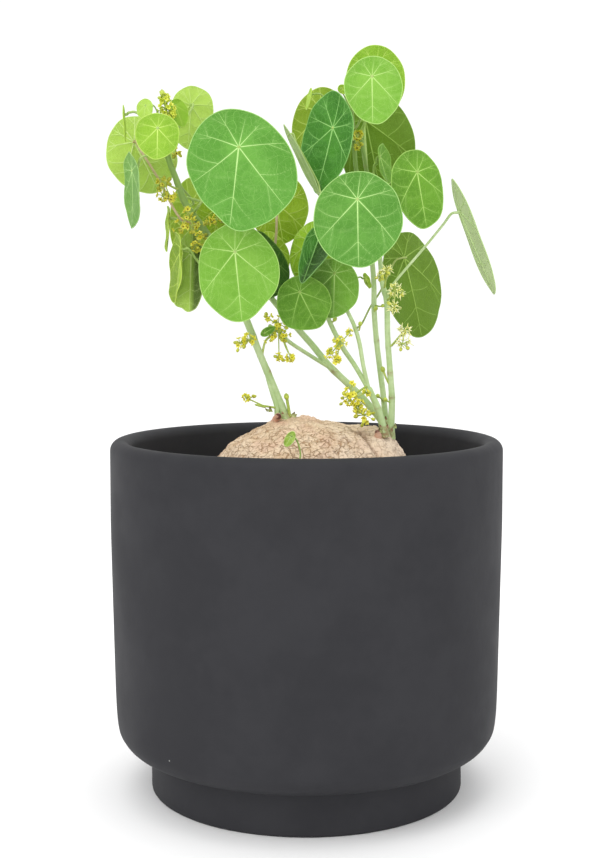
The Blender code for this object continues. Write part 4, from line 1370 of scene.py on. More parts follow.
# dusk and shade in these rows paint shade on the blades.
LEAVES = [
    Leaf("leaf_01", (-67.5, -12, 256), 13, 9.5, "A", 0.97, LeafTone.YOUNG, turn=-87, roll=3, share=0.27,
         veined=0.3, flat=True, via=[(-65.1, -12, 256.8), (-61.8, -11.5, 256.3)]),
    Leaf("leaf_02", (-59, -15, 259), 7.2, 6.6, "A", 1.0, LeafTone.PALE, roll=-8, turn=-20,
         share=0.33, veined=0.3, via=[(-56, -12, 259)]),
    Leaf("leaf_03", (-65, -2, 247), 28, 28.5, "A", 0.62, LeafTone.PALE, roll=24, turn=-150,
         share=0.32, off=-0.05, lobes=(10, 8, 0, 0, 0, 0, 3, 1, 1.5, 3.5, -4, 1),
         via=[(-61.5, -7, 243), (-54.5, -9.5, 232), (-47.5, -11.5, 219)], stalk=PETIOLE_ROSY),
    Leaf("leaf_04", (-53, -30, 249), 16.1, 15.5, "A", 0.93, LeafTone.LIME, roll=1, share=0.32,
         egg=0.12, off=-0.03, point=0.05, lobes=(0, -2, -3, -3, -2, -5, -6, -3, 6, 7, 5, 2), shade=0.06),
    Leaf("leaf_05", (-64, -18, 235), 25.5, 18, "A", 0.9, LeafTone.GLAUCOUS, roll=2, turn=-66,
         share=0.27, off=0.03, point=0.09, lobes=(0, 0, -20, -8, -15, 0, 0, 8, 20, 30, 8, 0),
         via=[(-60, -18, 240)]),
    Leaf("leaf_06", (-45, 15, 263), 25.3, 18.4, "A", 0.95, LeafTone.PALE, roll=-15, turn=-150,
         tilt=-15, share=0.31, egg=0.04, off=-0.1, point=0.0, veined=0.4,
         lobes=(8, 16, 3, 0, 0, 0, -3, 0, 0, 0, 6, 5), via=[(-46, 6, 257)]),
    Leaf("leaf_07", (-49, -4, 260.5), 9.8, 7.3, "A", 0.96, LeafTone.LIME, roll=18, turn=20,
         share=0.23, egg=0.06, off=0.05, point=0.1, veined=0.5),
    Leaf("leaf_08", (-24, -33, 242), 44.6, 38.6, "A", 0.66, LeafTone.MATURE, roll=24, share=0.32,
         off=-0.09, point=0.0, rib=-24,
         lobes=(-1.5, -7, -6.5, -11.5, -11.5, -3, -7, -2.5, 4, 3.5, -0.5, 0)),
    Leaf("leaf_09", (-11.5, 19, 225.5), 27.3, 24.3, "B", 0.72, LeafTone.SHADED, roll=8, turn=165,
         share=0.46, shade=0.1, via=[(-11.5, 8.5, 220), (-12, 6.5, 210)], stalk=PETIOLE_ROSY),
    Leaf("leaf_10", (-46, 17, 225), 31.3, 18.2, "A", 0.78, LeafTone.YOUNG, roll=-6, turn=-145,
         share=0.35, off=-0.09, point=0.0),
    Leaf("leaf_11", (-33.5, 5, 223.5), 19, 17, "A", 0.72, LeafTone.SHADED, roll=-10, turn=-160,
         share=0.4, shade=0.05),
    Leaf("leaf_12", (-51.5, -8, 218.5), 15.5, 10.5, "A", 0.6, LeafTone.SHADED, roll=-3, turn=-79,
         share=0.29, egg=0.1, off=-0.05, point=0.1),
    Leaf("leaf_13", (-43, -12, 205.5), 29, 11, "A", 0.45, LeafTone.PALE, roll=-1, turn=-10,
         share=0.27, egg=-0.04, lobes=(0, 0, 0, 12, 26, 4, 0, 0, 0, 0, 0, 0), painted_shade=0.8),
    Leaf("leaf_14", (-46, -20, 206.5), 25, 14, "A", 0.35, LeafTone.SHADED, roll=-3, turn=-68,
         share=0.25, egg=-0.17, off=-0.25, point=0.04, painted_shade=-0.3,
         via=[(-43, -19, 206.5), (-39.5, -16, 201.5)]),
    Leaf("leaf_15", (-26, -24, 205.5), 34.2, 29.4, "A", 0.4, LeafTone.FRESH, roll=5, share=0.33,
         egg=-0.07, off=0.01, point=0.06, lobes=(-8, -9, -4, -5, 0, 2, 2, -3, 2, 3.5, -3, -9)),
    Leaf("leaf_16", (-17, 2, 206.5), 26, 18, "B", 0.82, LeafTone.DEEP, roll=14, turn=15, share=0.31,
         egg=-0.3, off=-0.05, point=0.0),
    Leaf("leaf_17", (-14, 16.5, 210.5), 19, 14, "B", 0.78, LeafTone.SHADED, roll=14, turn=165,
         share=0.24, egg=-0.12, off=0.08, point=0.0),
    Leaf("leaf_18", (2, 8, 210.5), 24, 17, "C", 1.0, LeafTone.LIME, roll=-11, turn=175, share=0.34,
         egg=-0.09, off=-0.06),
    Leaf("leaf_19", (5.3, -7, 213.5), 27, 13, "C", 0.92, LeafTone.BLUISH, roll=-12, turn=-25,
         tilt=28, share=0.21, egg=0.11, off=0.25, point=0.1, fold=24, painted_shade=0.8),
    Leaf("leaf_20", (-2.5, -12, 191), 20.5, 20.7, "C", 0.75, LeafTone.LEAFY, roll=30, share=0.3,
         egg=-0.09, off=-0.04, point=0.06, shade=0.03, veined=0.8,
         lobes=(0, 3, -2, 0, -1, -6.5, -3.5, -5, -2, -3, -2, 0)),
    Leaf("leaf_21", (10.5, -7, 198), 22.5, 19.3, "c", 1.0, LeafTone.FRESH, share=0.25, egg=0.03,
         off=-0.02, painted_shade=-0.45, shade=0.08, veined=0.8, lobes=(0, 0, 0, 0, 0, -3, -5, -6, -1, 0, 0, 0)),
    Leaf("leaf_22", (18, -36, 223.5), 31.1, 31.4, "D", 0.62, LeafTone.MATURE, roll=7, share=0.32,
         egg=-0.11, point=0.08, rib=-6, shade=0.12,
         lobes=(-4, 2, 5, 4.5, 4.5, 3.5, 1.5, -5, -2, -5, -1.5, -1.5)),
    Leaf("leaf_23", (40.5, -19, 234.5), 26.7, 21.4, "E", 0.74, LeafTone.LEAFY, roll=10, turn=25,
         shade=0.05, share=0.31, egg=-0.05, off=-0.06, point=0.06, rib=3,
         lobes=(-3, 0, 6, 4, -4, 0, 3, 4, 0, -4, -5, 3)),
    Leaf("leaf_24", (38.5, 24, 204.5), 39.2, 31.3, "c", 0.56, LeafTone.OLIVE, roll=12, turn=-140,
         share=0.26, egg=-0.07, off=-0.08, point=0.07, lobes=(0, 6, 9, 2, 6, 1, 1, 0, 0, 0, 0, 0),
         via=[(35, 17, 203.5), (32, 11.5, 198), (28.6, 9.5, 191.3), (24.7, 8, 185.3), (21.2, 1.5, 179)],
         stalk=PETIOLE_OLIVE, thick=0.75),
    Leaf("leaf_25", (57.5, -8, 221), 44.4, 13, "E", 0.48, LeafTone.SILVER, roll=21, turn=105,
         share=0.275, egg=-0.08, off=-0.3, point=0.03, veined=0.25, flat=True,
         via=[(54, -8, 220), (51, -8, 216), (44.5, -7, 208), (33.5, -5, 195)], stalk=PETIOLE_PALE),
    Leaf("leaf_26", (23.5, -24, 268), 22.5, 21.2, "D", 0.93, LeafTone.FRESH, roll=8, share=0.32,
         point=0.07, lobes=(-3, -5, 0, 0, -1, 1, 2, -2, -1, -2, -4, -3),
         via=[(22, -14.5, 260), (19.5, -11, 253.5)], rib=-7),
    Leaf("leaf_27", (26, -6, 274.5), 26, 22, "E", 1.0, LeafTone.LIME, roll=3, share=0.29, off=-0.03,
         point=0.0),
    Leaf("leaf_28", (9.5, -14, 251), 34, 24, "D", 0.9, LeafTone.BLUISH, roll=-9, turn=-40,
         share=0.38, off=-0.07, point=0.1, veined=1.25, lobes=(3, -5, -13, -6, -7, -12, 0, 0, 5, 12, 3, 0)),
    Leaf("leaf_29", (6, 12, 260), 31, 23.1, "D", 0.95, LeafTone.SHADED, roll=-2, turn=175,
         share=0.31, egg=-0.07, shade=0.3),
    Leaf("leaf_30", (1, -6, 264.5), 8, 5.2, "D", 0.97, LeafTone.YOUNG, roll=-12, turn=-74, share=0.27,
         veined=0.4, flat=True, via=[(4, -5.5, 264.5), (6.5, -5, 263.5)]),
    Leaf("leaf_31", (-6.5, -17, 248), 27, 6.8, "D", 0.66, LeafTone.SILVER, roll=27, turn=-72,
         share=0.16, egg=-0.25, off=-0.08, point=0.07, veined=0.35, shade=0.1, flat=True, thick=0.75,
         via=[(-3.6, -16.8, 245), (0.4, -17, 238), (4.1, -17.2, 231), (7.4, -17, 223.5)]),
    Leaf("leaf_32", (13, -2, 267), 3.8, 3.4, "D", 1.0, LeafTone.YOUNG, roll=58, share=0.34),
    Leaf("leaf_33", (23.5, 27, 258.5), 40.8, 29.6, "E", 0.9, LeafTone.OLIVE, roll=5, turn=170,
         share=0.25, egg=-0.08, off=-0.13, point=0.0),
    Leaf("leaf_34", (28, 0, 242), 14.8, 9.5, "E", 0.75, LeafTone.LEAFY, roll=10, turn=58,
         share=0.32, off=0.22, via=[(26.5, 1, 239.5), (25.5, 1, 236.5)]),
    Leaf("leaf_35", (22.5, -4, 196.5), 6, 4.8, "c", 1.0, LeafTone.SHADED, roll=22, turn=60,
         share=0.3, painted_shade=-0.6, via=[(19.5, -5, 196.5)]),
    Leaf("leaf_36", (-16, -8, 175.5), 5.4, 3.1, "b", 0.97, LeafTone.LEAFY, roll=120, share=0.25,
         point=0.16),
    Leaf("leaf_37", (-5.4, -36, 139.5), 6, 3.4, "caudex", 0, LeafTone.PALE, roll=-30, share=0.3,
         via=[(-3.4, -34, 137.5), (-2.2, -34.6, 132.5)]),
]


@dataclass
class Foliage:
    """All the leaves."""

    leaves: list[Leaf]

    def build(self) -> None:
        """Model the two starting discs and every leaf from them."""
        patterns = {True: model_disc("large_disc", 96, 24), False: model_disc("small_disc", 64, 12)}
        for leaf in self.leaves:
            leaf.build(patterns)
        remove(*patterns.values())


# Stems


def model_bud(detail: int) -> Piece:
    """A closed bud: a ball drawn to a point, ridged where its scales part.

    Args:
        detail: How often the ball is divided.

    Returns:
        The bud, standing on its origin.
    """
    ball = bpy.ops.mesh.primitive_ico_sphere_add
    bud = start(ball, "bud_pattern", subdivisions=detail, radius=MM)
    p = points_of(bud)
    p[:, :2] *= (1 - 0.28 * np.clip(p[:, 2], 0, 1) ** 2)[:, None]
    p[:, 2] = p[:, 2] * 1.3 + 1.0
    p[:, :2] *= (1 + 0.07 * np.cos(3 * np.arctan2(p[:, 1], p[:, 0])))[:, None]
    move_points(bud, p)
    outward(bud)
    return bud


def model_scale() -> Piece:
    """A pointed bract scale: a tapered strip, cupped and given its thickness.

    Returns:
        The scale, about 2 mm long, with its foot at the origin.
    """
    grid = bpy.ops.mesh.primitive_grid_add
    scale = start(grid, "scale_pattern", x_subdivisions=4, y_subdivisions=4, size=2 * MM)
    p = points_of(scale)
    up = (p[:, 1] + 1) / 2
    x = p[:, 0] * (0.75 * (1 - up**1.6) + 0.05)
    move_points(scale, np.column_stack([x, 0.55 * x**2 - 0.35 * up**2, up * 2.2]))
    apply_modifier(scale, "SOLIDIFY", thickness=0.22 * MM, offset=0.0)
    outward(scale)
    return scale


def spun(points: Array, turn: float) -> Array:
    """The points turned about the upright axis, in radians."""
    c, s = math.cos(turn), math.sin(turn)
    return points @ np.array([[c, s, 0], [-s, c, 0], [0, 0, 1]])


def set_on(pattern: Piece, name: str, place: Any, along: Any, size: float, turn: float) -> Piece:
    """A copy of a pattern, standing at a place.

    Args:
        pattern: What is copied; it stands on its origin along +Z.
        name: The copy's name.
        place: Where it stands, in millimetres.
        along: The direction that its +Z takes.
        size: How many times larger than the pattern.
        turn: Its turn about its own axis, in radians.

    Returns:
        The copy, its place in its mesh.
    """
    obj = own_copy(pattern, name)
    axis = unit(along)
    side = unit(np.cross(axis, (0.31, 0.87, 0.38)))
    p = spun(points_of(obj) * size, turn) @ np.array([side, np.cross(axis, side), axis])
    move_points(obj, p + np.asarray(place, float))
    return obj


@dataclass
class Stem:
    """A stem with its branches: node swellings, scars, buds, and scales round its foot.

    scars are a branch and a share of it. buds are the rows of each bud's stalk, of which the last
    holds the bud's size. strands are thinner stems that lie along the stem and stubs are what is
    left of old ones. Rows are x, y, z and radius. bracts are the place, the direction and the size
    of a scale, and scales is how many more stand round the foot.
    """

    name: str
    branches: Sequence[str]
    buds: Sequence[Sequence[Row]] = ()
    scars: Sequence[tuple[str, float]] = ()
    strands: Sequence[Sequence[Row]] = ()
    stubs: Sequence[Sequence[Row]] = ()
    bracts: Sequence[tuple[Point, Point, float]] = ()
    scales: int = 4

    ROOTED = ("A", "B", "base", "D", "E")
    ROOT = 3.4
    # the height where the darker green, partly painted shade, begins, and the millimetres over which it
    # comes in
    TOP_GREEN_SHADE_FROM = 196
    TOP_GREEN_SHADE_OVER = 22

    def run(self, key: str) -> Run:
        """One branch's tube, marked where it is scarred.

        Args:
            key: The branch's name.

        Returns:
            The run, which reaches down into the caudex where the branch is rooted there.
        """
        rows = smooth_path(BRANCHES[key].rows, 12)
        path, radii = rows[:, :3], rows[:, 3]
        share = np.linspace(0, 1, len(rows))
        span = np.linalg.norm(np.diff(path, axis=0), axis=1).sum()
        scars = [place for branch, place in self.scars if branch == key]
        growing = [one.place for one in (*LEAVES, *UMBELS) if one.branch == key]
        nodes = np.array([p for p in growing + scars if 0.02 < p < 0.99] or [0.5])
        gap = np.min(np.abs(share[:, None] - nodes[None, :]), axis=1) * span
        worn = np.min(np.abs(share[:, None] - np.array(scars or [9.0])[None, :]), axis=1) * span
        radii = radii * (1 + 0.09 * np.exp(-((gap / 1.2) ** 2)))
        mark = np.maximum(0.3 * np.exp(-((gap / 0.5) ** 2)), np.exp(-((worn / 0.8) ** 2)))
        radii[-1] *= 0.6
        if key in self.ROOTED:
            radii = radii * (1 + 0.16 * np.exp(-share * span / 1.6))
            mark = np.maximum(mark, np.exp(-((share * span / 1.1) ** 2)))
            path = np.vstack([path[0] - self.ROOT * unit(path[1] - path[0]), path])
            radii, mark = np.append(radii[0] * 1.25, radii), np.append(1.0, mark)
        return Run(path, radii, mark)

    def skin(self) -> Piece:
        """The stem and its branches, swollen a little at the nodes, with the foot in the caudex.

        Returns:
            The stem's mesh.
        """
        rng = np.random.default_rng(SEED + ord(self.name[-1]))
        runs = [self.run(key) for key in self.branches]
        runs += [Run.through(strand, 8) for strand in self.strands]
        stalk = model_tubes(f"{self.name}_skin", runs, 5)
        places = points_of(stalk)
        near = nearest(places, runs)
        axis = np.vstack([run.path for run in runs])[near]
        marks = np.concatenate([run.marks for run in runs])[near]
        side = unit(rng.normal(size=3) + (0, -1.2, 0))
        faces = np.array([np.dot(unit(p - middle + 1e-6), side) for p, middle in zip(places, axis)])
        write_numbers(stalk, "scar", marks * np.clip(0.5 + 0.6 * faces, 0.1, 1))
        # partly painted shade: the skin turns darker green over the top of the stem
        young = np.clip((places[:, 2] - self.TOP_GREEN_SHADE_FROM) / self.TOP_GREEN_SHADE_OVER, 0, 1)
        write_numbers(stalk, "young", 0.85 * young)
        return dress(stalk, stem_material(MAIN_STEM))

    def old_stub(self, rows: Sequence[Row]) -> Piece:
        """A short woody stub with a dark ring round its broken end.

        Args:
            rows: x, y, z and radius of points along it.

        Returns:
            The stub.
        """
        run = Run.through(rows, 5)
        run.radii = run.radii * (1 + 0.1 * np.sin(np.arange(len(run.radii)) * 2.1))
        run.radii[-1] *= 0.75
        stub = model_tubes(f"{self.name}_stub", [run], 3)
        away = np.linalg.norm(points_of(stub) - run.path[-1], axis=1)
        write_numbers(stub, "scar", np.exp(-(((away - 0.95) / 0.4) ** 2)))
        return dress(stub, stem_material(OLD_STUB))

    def budding(self, rows: Sequence[Row], turn: float, bud: Piece) -> list[Piece]:
        """A bud on its stalk.

        Args:
            rows: The stalk's rows, of which the last holds the bud's size.
            turn: The bud's turn about its own axis.
            bud: The bud that is copied.

        Returns:
            The stalk and the bud.
        """
        run = Run.through(rows, 4)
        run.radii = np.minimum(run.radii, rows[-2][3])
        stalk = model_tubes(f"{self.name}_twig", [run], 1)
        wear(stalk, stem_material(PEDUNCLE))
        ahead = unit(run.path[-1] - run.path[-2])
        one = set_on(bud, f"{self.name}_bud", run.path[-1] - 0.4 * ahead, ahead, rows[-1][3], turn)
        return [stalk, dress(one, floret_material(GREEN_FLORET, "bud"), 80)]

    def build(self, bud: Piece, scale: Piece) -> None:
        """Model the stem and let it stand for its node.

        Args:
            bud: The bud that is copied.
            scale: The bract scale that is copied.
        """
        rng = np.random.default_rng(SEED + 50 + ord(self.name[-1]))
        parts = [self.skin(), *map(self.old_stub, self.stubs)]
        for i, rows in enumerate(self.buds):
            parts += self.budding(rows, i, bud)
        foot, ahead, radius = BRANCHES[self.branches[0]].at(0.0)
        standing = [(*bract, SPROUT) for bract in self.bracts]
        for i in range(self.scales):
            turn = i * GOLDEN_ANGLE + foot[0]
            side = unit(np.cross(ahead, (math.cos(turn), math.sin(turn), 0.3)))
            place = foot + ahead * rng.uniform(-0.8, 0.6) + side * radius * 0.9
            standing.append((place, ahead + side * 0.6, rng.uniform(0.65, 1.0), BRACT))
        for place, way, size, finish in standing:
            one = set_on(scale, f"{self.name}_scale", place, way, size, 0.0)
            edge = np.abs(points_of(one) - place).max(axis=1)
            write_numbers(one, "scar", np.clip(edge / (1.6 * size), 0, 1) ** 2)
            parts.append(dress(one, stem_material(finish)))
        hand_over(join(parts, f"{self.name}_stalk"), "stem", self.name)


BRACT = StemFinish("bract_scale", (180, 150, 116), (200, 174, 142), (104, 68, 50), 0.75)
SPROUT = StemFinish("sprout_scale", (168, 188, 112), (200, 212, 150), (92, 66, 44), 0.7)
OLD_STUB = StemFinish("old_stub", (198, 152, 128), (214, 176, 150), (92, 54, 44), 0.8)


# Flowers


def model_floret(slim: bool) -> dict[str, Piece]:
    """An open floret facing +Z: petals round a low disc.

    Args:
        slim: True for long narrow petals.

    Returns:
        The petals and the disc, under their finish's names.
    """
    petals = []
    count = 4 if slim else 5
    long, wide = (1.15, 0.26) if slim else (0.66, 0.62)
    ball = bpy.ops.mesh.primitive_uv_sphere_add
    for i in range(count):
        petal = start(ball, f"petal_{i}", segments=4, ring_count=2, radius=MM)
        p = points_of(petal)
        p = np.column_stack([p[:, 0] * long + long * 0.8, p[:, 1] * wide, p[:, 2] * 0.2])
        p[:, 2] += 0.28 * p[:, 0] ** 2 / long
        move_points(petal, spun(p, 2 * math.pi * i / count + (0.3 if i % 2 else 0)))
        petals.append(petal)
    whole = join(petals, "floret_petals")
    outward(whole)
    size = {"vertices": 5, "radius": 0.26 * MM, "depth": 0.3 * MM, "location": (0, 0, 0.18 * MM)}
    disc = start(bpy.ops.mesh.primitive_cylinder_add, "floret_disc", **size)
    bpy.ops.object.transform_apply(location=True, rotation=False, scale=False)
    with editing(disc):
        bpy.ops.mesh.select_all(action="DESELECT")
    for face in disc.data.polygons:
        face.select = face.normal.z > 0.9
    bpy.ops.object.mode_set(mode="EDIT")
    bpy.ops.mesh.select_mode(type="FACE")
    bpy.ops.mesh.inset(thickness=0.12 * MM, depth=0.12 * MM)
    bpy.ops.object.mode_set(mode="OBJECT")
    return {"petal": whole, "disc": disc}


@dataclass
class Umbel:
    """A flower cluster: its lumps as x, y, z, radius and florets, the place that its peduncle
    leaves the stem, the height of a bud above the first lump, and the rows of further stalks."""

    name: str
    lumps: Sequence[tuple[float, float, float, float, int]]
    branch: str
    place: float
    finish: FloretFinish = FRESH_FLORET
    bud: float = 0
    via: list[Point] = field(default_factory=list)
    slim: bool = False
    more: Sequence[Sequence[Row]] = ()

    CROWDING = 2.5
    CLOSED_SHARE = 0.22
    BUD_SHIFT = -1.2

    def stalks(self) -> list[Run]:
        """The peduncle and the stalks between lumps.

        Returns:
            The run of each stalk.
        """
        middle = np.array(self.lumps[0][:3], float)
        via = [np.array(p, float) for p in self.via]
        ends = BRANCHES[self.branch].joint(self.place, via[0] if via else middle, 0.35)
        path = np.vstack([smooth_path([middle, *via[::-1], ends[0]], 5), ends[1]])
        runs = [Run(path, np.linspace(0.3, 0.46, len(path)))]
        for lump in self.lumps[1:]:
            centre = np.array(lump[:3], float)
            bow = (middle + centre) / 2 + (0, 0, -0.4)
            path = smooth_path([middle, bow, centre], 3)
            runs.append(Run(path, np.linspace(0.28, 0.24, len(path))))
        runs += [Run.through(rows, 4) for rows in self.more]
        if self.bud:
            top = middle + (self.BUD_SHIFT, 0, self.bud)
            runs.append(Run(np.array([middle, (middle + top) / 2, top]), np.array([0.5, 0.42, 0.5])))
        return runs

    def build(self, florets: dict[bool, dict[str, Piece]], bud: Piece) -> None:
        """Model the cluster and let it stand for its node.

        Args:
            florets: The open florets that are copied, by whether they are slim.
            bud: The bud that is copied.
        """
        rng = np.random.default_rng(SEED + 300 + int(self.name[-2:]))
        runs = self.stalks()
        parts: list[Piece] = []

        def open_out(pattern: Piece, part: str, *standing: Any) -> None:
            """Set a copy of a pattern on its place, in its part's colours."""
            parts.append(set_on(pattern, part, *standing))
            wear(parts[-1], floret_material(self.finish, part))

        for x, y, z, radius, count in self.lumps:
            centre = np.array([x, y, z])
            many = max(1, round(count * self.CROWDING))
            for i in range(many):
                height = 1 - 2 * (i + 0.5) / many
                out = math.sqrt(1 - height**2)
                turn = i * GOLDEN_ANGLE + x
                even = np.array([out * math.cos(turn), out * math.sin(turn), height])
                way = unit(even + rng.normal(0, 0.3, 3))
                reach = radius * rng.uniform(0.5, 1.25)
                end = centre + way * reach
                path = np.array([centre, centre + way * reach * 0.5 + (0, 0, 0.12), end])
                runs.append(Run(path, np.full(3, 0.17)))
                size = rng.uniform(0.85, 1.2)
                if rng.random() < self.CLOSED_SHARE:
                    open_out(bud, "bud", end - way * 0.2, way, size * 0.72, turn)
                    continue
                for part, pattern in florets[self.slim].items():
                    open_out(pattern, part, end - way * 0.1, way, size, turn)
        if self.bud:
            top = np.array(self.lumps[0][:3]) + (self.BUD_SHIFT, 0, self.bud - 1.3)
            open_out(bud, "bud", top, (-0.1, 0, 1), 1.2, 0.4)
        stalk = model_tubes(f"{self.name}_stalks", runs, 1)
        wear(stalk, stem_material(PEDUNCLE))
        whole = join([stalk, *parts], f"{self.name}_umbels")
        smooth(whole, 70)
        hand_over(whole, "flower", self.name)


UMBELS = [
    Umbel("flowers_01", [(-52, -9, 258.5, 2.9, 7), (-50.3, -9, 256, 2, 4), (-52.5, -9, 262, 1.6, 4)],
          "A", 1.0, GREEN_FLORET, bud=5.8),
    Umbel("flowers_02", [(-48.3, -10, 242.8, 1.7, 4)], "A", 0.85, WARM_FLORET),
    Umbel("flowers_03", [(-52.4, -14, 231, 2.3, 4), (-53, -14, 226.3, 2, 4), (-50, -14, 226, 1.8, 3)],
          "A", 0.76, WARM_FLORET),
    Umbel("flowers_04", [(-43.6, -15, 220, 2.3, 4), (-42, -15, 215.5, 2.1, 4),
          (-46.3, -15, 215, 2.4, 4)], "A", 0.66, WARM_FLORET),
    Umbel("flowers_05", [(-39, -16, 211.4, 1.6, 3), (-40.6, -16, 207.8, 1.9, 4)], "A", 0.55,
          WARM_FLORET),
    Umbel("flowers_06", [(-33, -11, 218.4, 1.7, 3), (-36.6, -11.5, 216.6, 1.6, 3)], "A", 0.6,
          WARM_FLORET),
    Umbel("flowers_07", [(-21.6, -12, 173, 2.2, 5), (-25, -12, 172, 1.9, 4)], "A", 0.25),
    Umbel("flowers_08", [(-10.6, -5, 179, 2.5, 5), (-13.6, -5, 174, 2.2, 4), (-9, -5, 174.6, 2.6, 5),
          (-10.4, -5, 166.2, 1.5, 3), (-5.9, -5, 166, 1.5, 3), (-14.6, -5, 181.5, 1.4, 2)], "b", 0.8,
          more=[[(-16.9, -4, 164.5, 0.5), (-16.7, -4, 168, 0.45), (-15.6, -4.5, 172.5, 0.4),
                 (-13.8, -5, 174.5, 0.3)],
                [(-9, -5, 173, 0.25), (-7.6, -5, 169.5, 0.25), (-5.9, -5, 166.4, 0.25)]]),
    Umbel("flowers_09", [(-22.8, -8, 151.2, 1.2, 3), (-20.4, -8, 151.6, 0.4, 1)], "A", 0.03,
          via=[(-19.3, -7.6, 148.6), (-15.5, -6.4, 147.6)]),
    Umbel("flowers_10", [(12.3, -8, 172, 2.2, 5), (9, -8, 168, 2, 4), (11.6, -8, 165.6, 1.5, 3),
          (16.3, -8, 176, 1.4, 2)], "C", 0.42),
    Umbel("flowers_11", [(16, -13, 151.8, 3.1, 8), (19.2, -13, 148.6, 2.6, 7), (21.6, -13, 145, 3.1, 9),
          (17, -13, 157, 1.0, 1), (22.6, -12, 153.4, 1.1, 2)], "c", 0.02),
    Umbel("flowers_12", [(33.4, -7, 191.8, 2.5, 5), (32.8, -7, 185.4, 1.6, 4)],
          "E", 0.45, CREAM_FLORET, slim=True),
    Umbel("flowers_13", [(37, -5, 176.5, 2, 4), (36.4, -5, 171.5, 2.2, 4)],
          "E", 0.3, CREAM_FLORET, slim=True),
    Umbel("flowers_14", [(30.2, -4, 199, 2.0, 4), (28, -4, 196.6, 1.2, 2)],
          "E", 0.52, CREAM_FLORET, slim=True),
    Umbel("flowers_15", [(19.4, -3, 249.8, 1.9, 4), (19.2, -3, 245.4, 1.5, 2)], "D", 0.88, WARM_FLORET),
]


@dataclass
class Stems:
    """The five stems and the flower clusters on them."""

    stems: list[Stem]
    umbels: list[Umbel]

    def build(self) -> None:
        """Model the patterns once, then each stem and each cluster."""
        bud, small_bud = model_bud(2), model_bud(1)
        scale = model_scale()
        florets = {slim: model_floret(slim) for slim in (False, True)}
        for stem in self.stems:
            stem.build(bud, scale)
        for umbel in self.umbels:
            umbel.build(florets, small_bud)
        remove(bud, small_bud, scale, *florets[False].values(), *florets[True].values())


STEMS = [
    Stem(
        "stem_a",
        ["A"],
        [[(-6.2, -3.8, 143.6, 0.62), (-6.8, -4.3, 146.8, 0.6), (-7.5, -4.4, 150.8, 1.05)]],
        scars=[("A", 0.142)],
        strands=[[
            (-11.3, -3.6, 141.0, 1.0), (-11.4, -3.7, 147.5, 1.0), (-12.8, -3.8, 151.9, 0.85),
            (-14.1, -3.9, 155.7, 0.7), (-15.3, -3.9, 159.5, 0.5), (-16.6, -3.9, 163.5, 0.35),
        ]],
        stubs=[[
            (-12.6, -4.0, 140.2, 1.5), (-11.9, -5.0, 142.4, 1.4), (-11.0, -6.6, 143.8, 1.3),
            (-10.6, -8.0, 144.2, 1.25),
        ]],
        bracts=[
            ((-13.4, -5.0, 145.2), (-0.3, -0.5, 1.0), 1.25), ((-14.2, -4.6, 145.9), (-0.9, -0.3, 0.5), 0.9),
            ((-5.6, -4.6, 143.4), (0.5, -0.3, 1.0), 1.2), ((-5.0, -4.2, 143.6), (1.0, -0.3, 0.8), 0.9),
        ],
        scales=3,
    ),
    Stem("stem_b", ["B", "b"], scars=[("B", 0.313)], scales=3),
    Stem(
        "stem_c",
        ["base", "C", "c"],
        [
            [(8.5, 0.2, 179.0, 0.4), (9.8, -0.4, 179.6, 0.36), (10.6, -0.8, 180.4, 0.8)],
            [(19.9, -4.5, 176.6, 0.4), (20.1, -5.8, 177.6, 0.36), (20.2, -6.6, 178.8, 0.8)],
        ],
        stubs=[[(27.2, -8.6, 134.8, 1.7), (27.0, -9.0, 137.6, 1.3), (26.6, -9.2, 139.0, 0.9)]],
        bracts=[((27.8, -9.2, 137.6), (-0.15, -0.3, 1.0), 1.2)],
    ),
    Stem(
        "stem_d",
        ["D"],
        [
            [(30.0, 5.4, 148.6, 0.4), (29.0, 2.0, 150.0, 0.34), (27.6, 0.0, 151.2, 0.85)],
            [(26.0, 3.6, 183.4, 0.4), (26.2, 2.4, 184.0, 0.36), (26.4, 1.6, 184.6, 0.85)],
            [(26.2, 3.4, 186.0, 0.4), (28.0, 1.6, 185.6, 0.34), (29.0, 0.6, 185.8, 0.7)],
        ],
        scars=[("D", 0.3)],
    ),
    Stem(
        "stem_e",
        ["E"],
        [
            [(31.6, -1.4, 156.0, 0.5), (30.4, -2.0, 158.4, 0.42), (29.3, -2.3, 161.2, 0.95)],
            [(32.4, -1.8, 149.0, 0.4), (31.2, -2.6, 149.4, 0.34), (30.4, -3.0, 150.0, 0.8)],
        ],
        scars=[("E", 0.21), ("E", 0.12)],
        bracts=[
            ((33.6, -3.4, 138.9), (0.15, -0.3, 1.0), 1.1),
            ((30.6, -3.6, 138.2), (-0.3, -0.4, 1.0), 0.9),
        ],
    ),
]


# Caudex


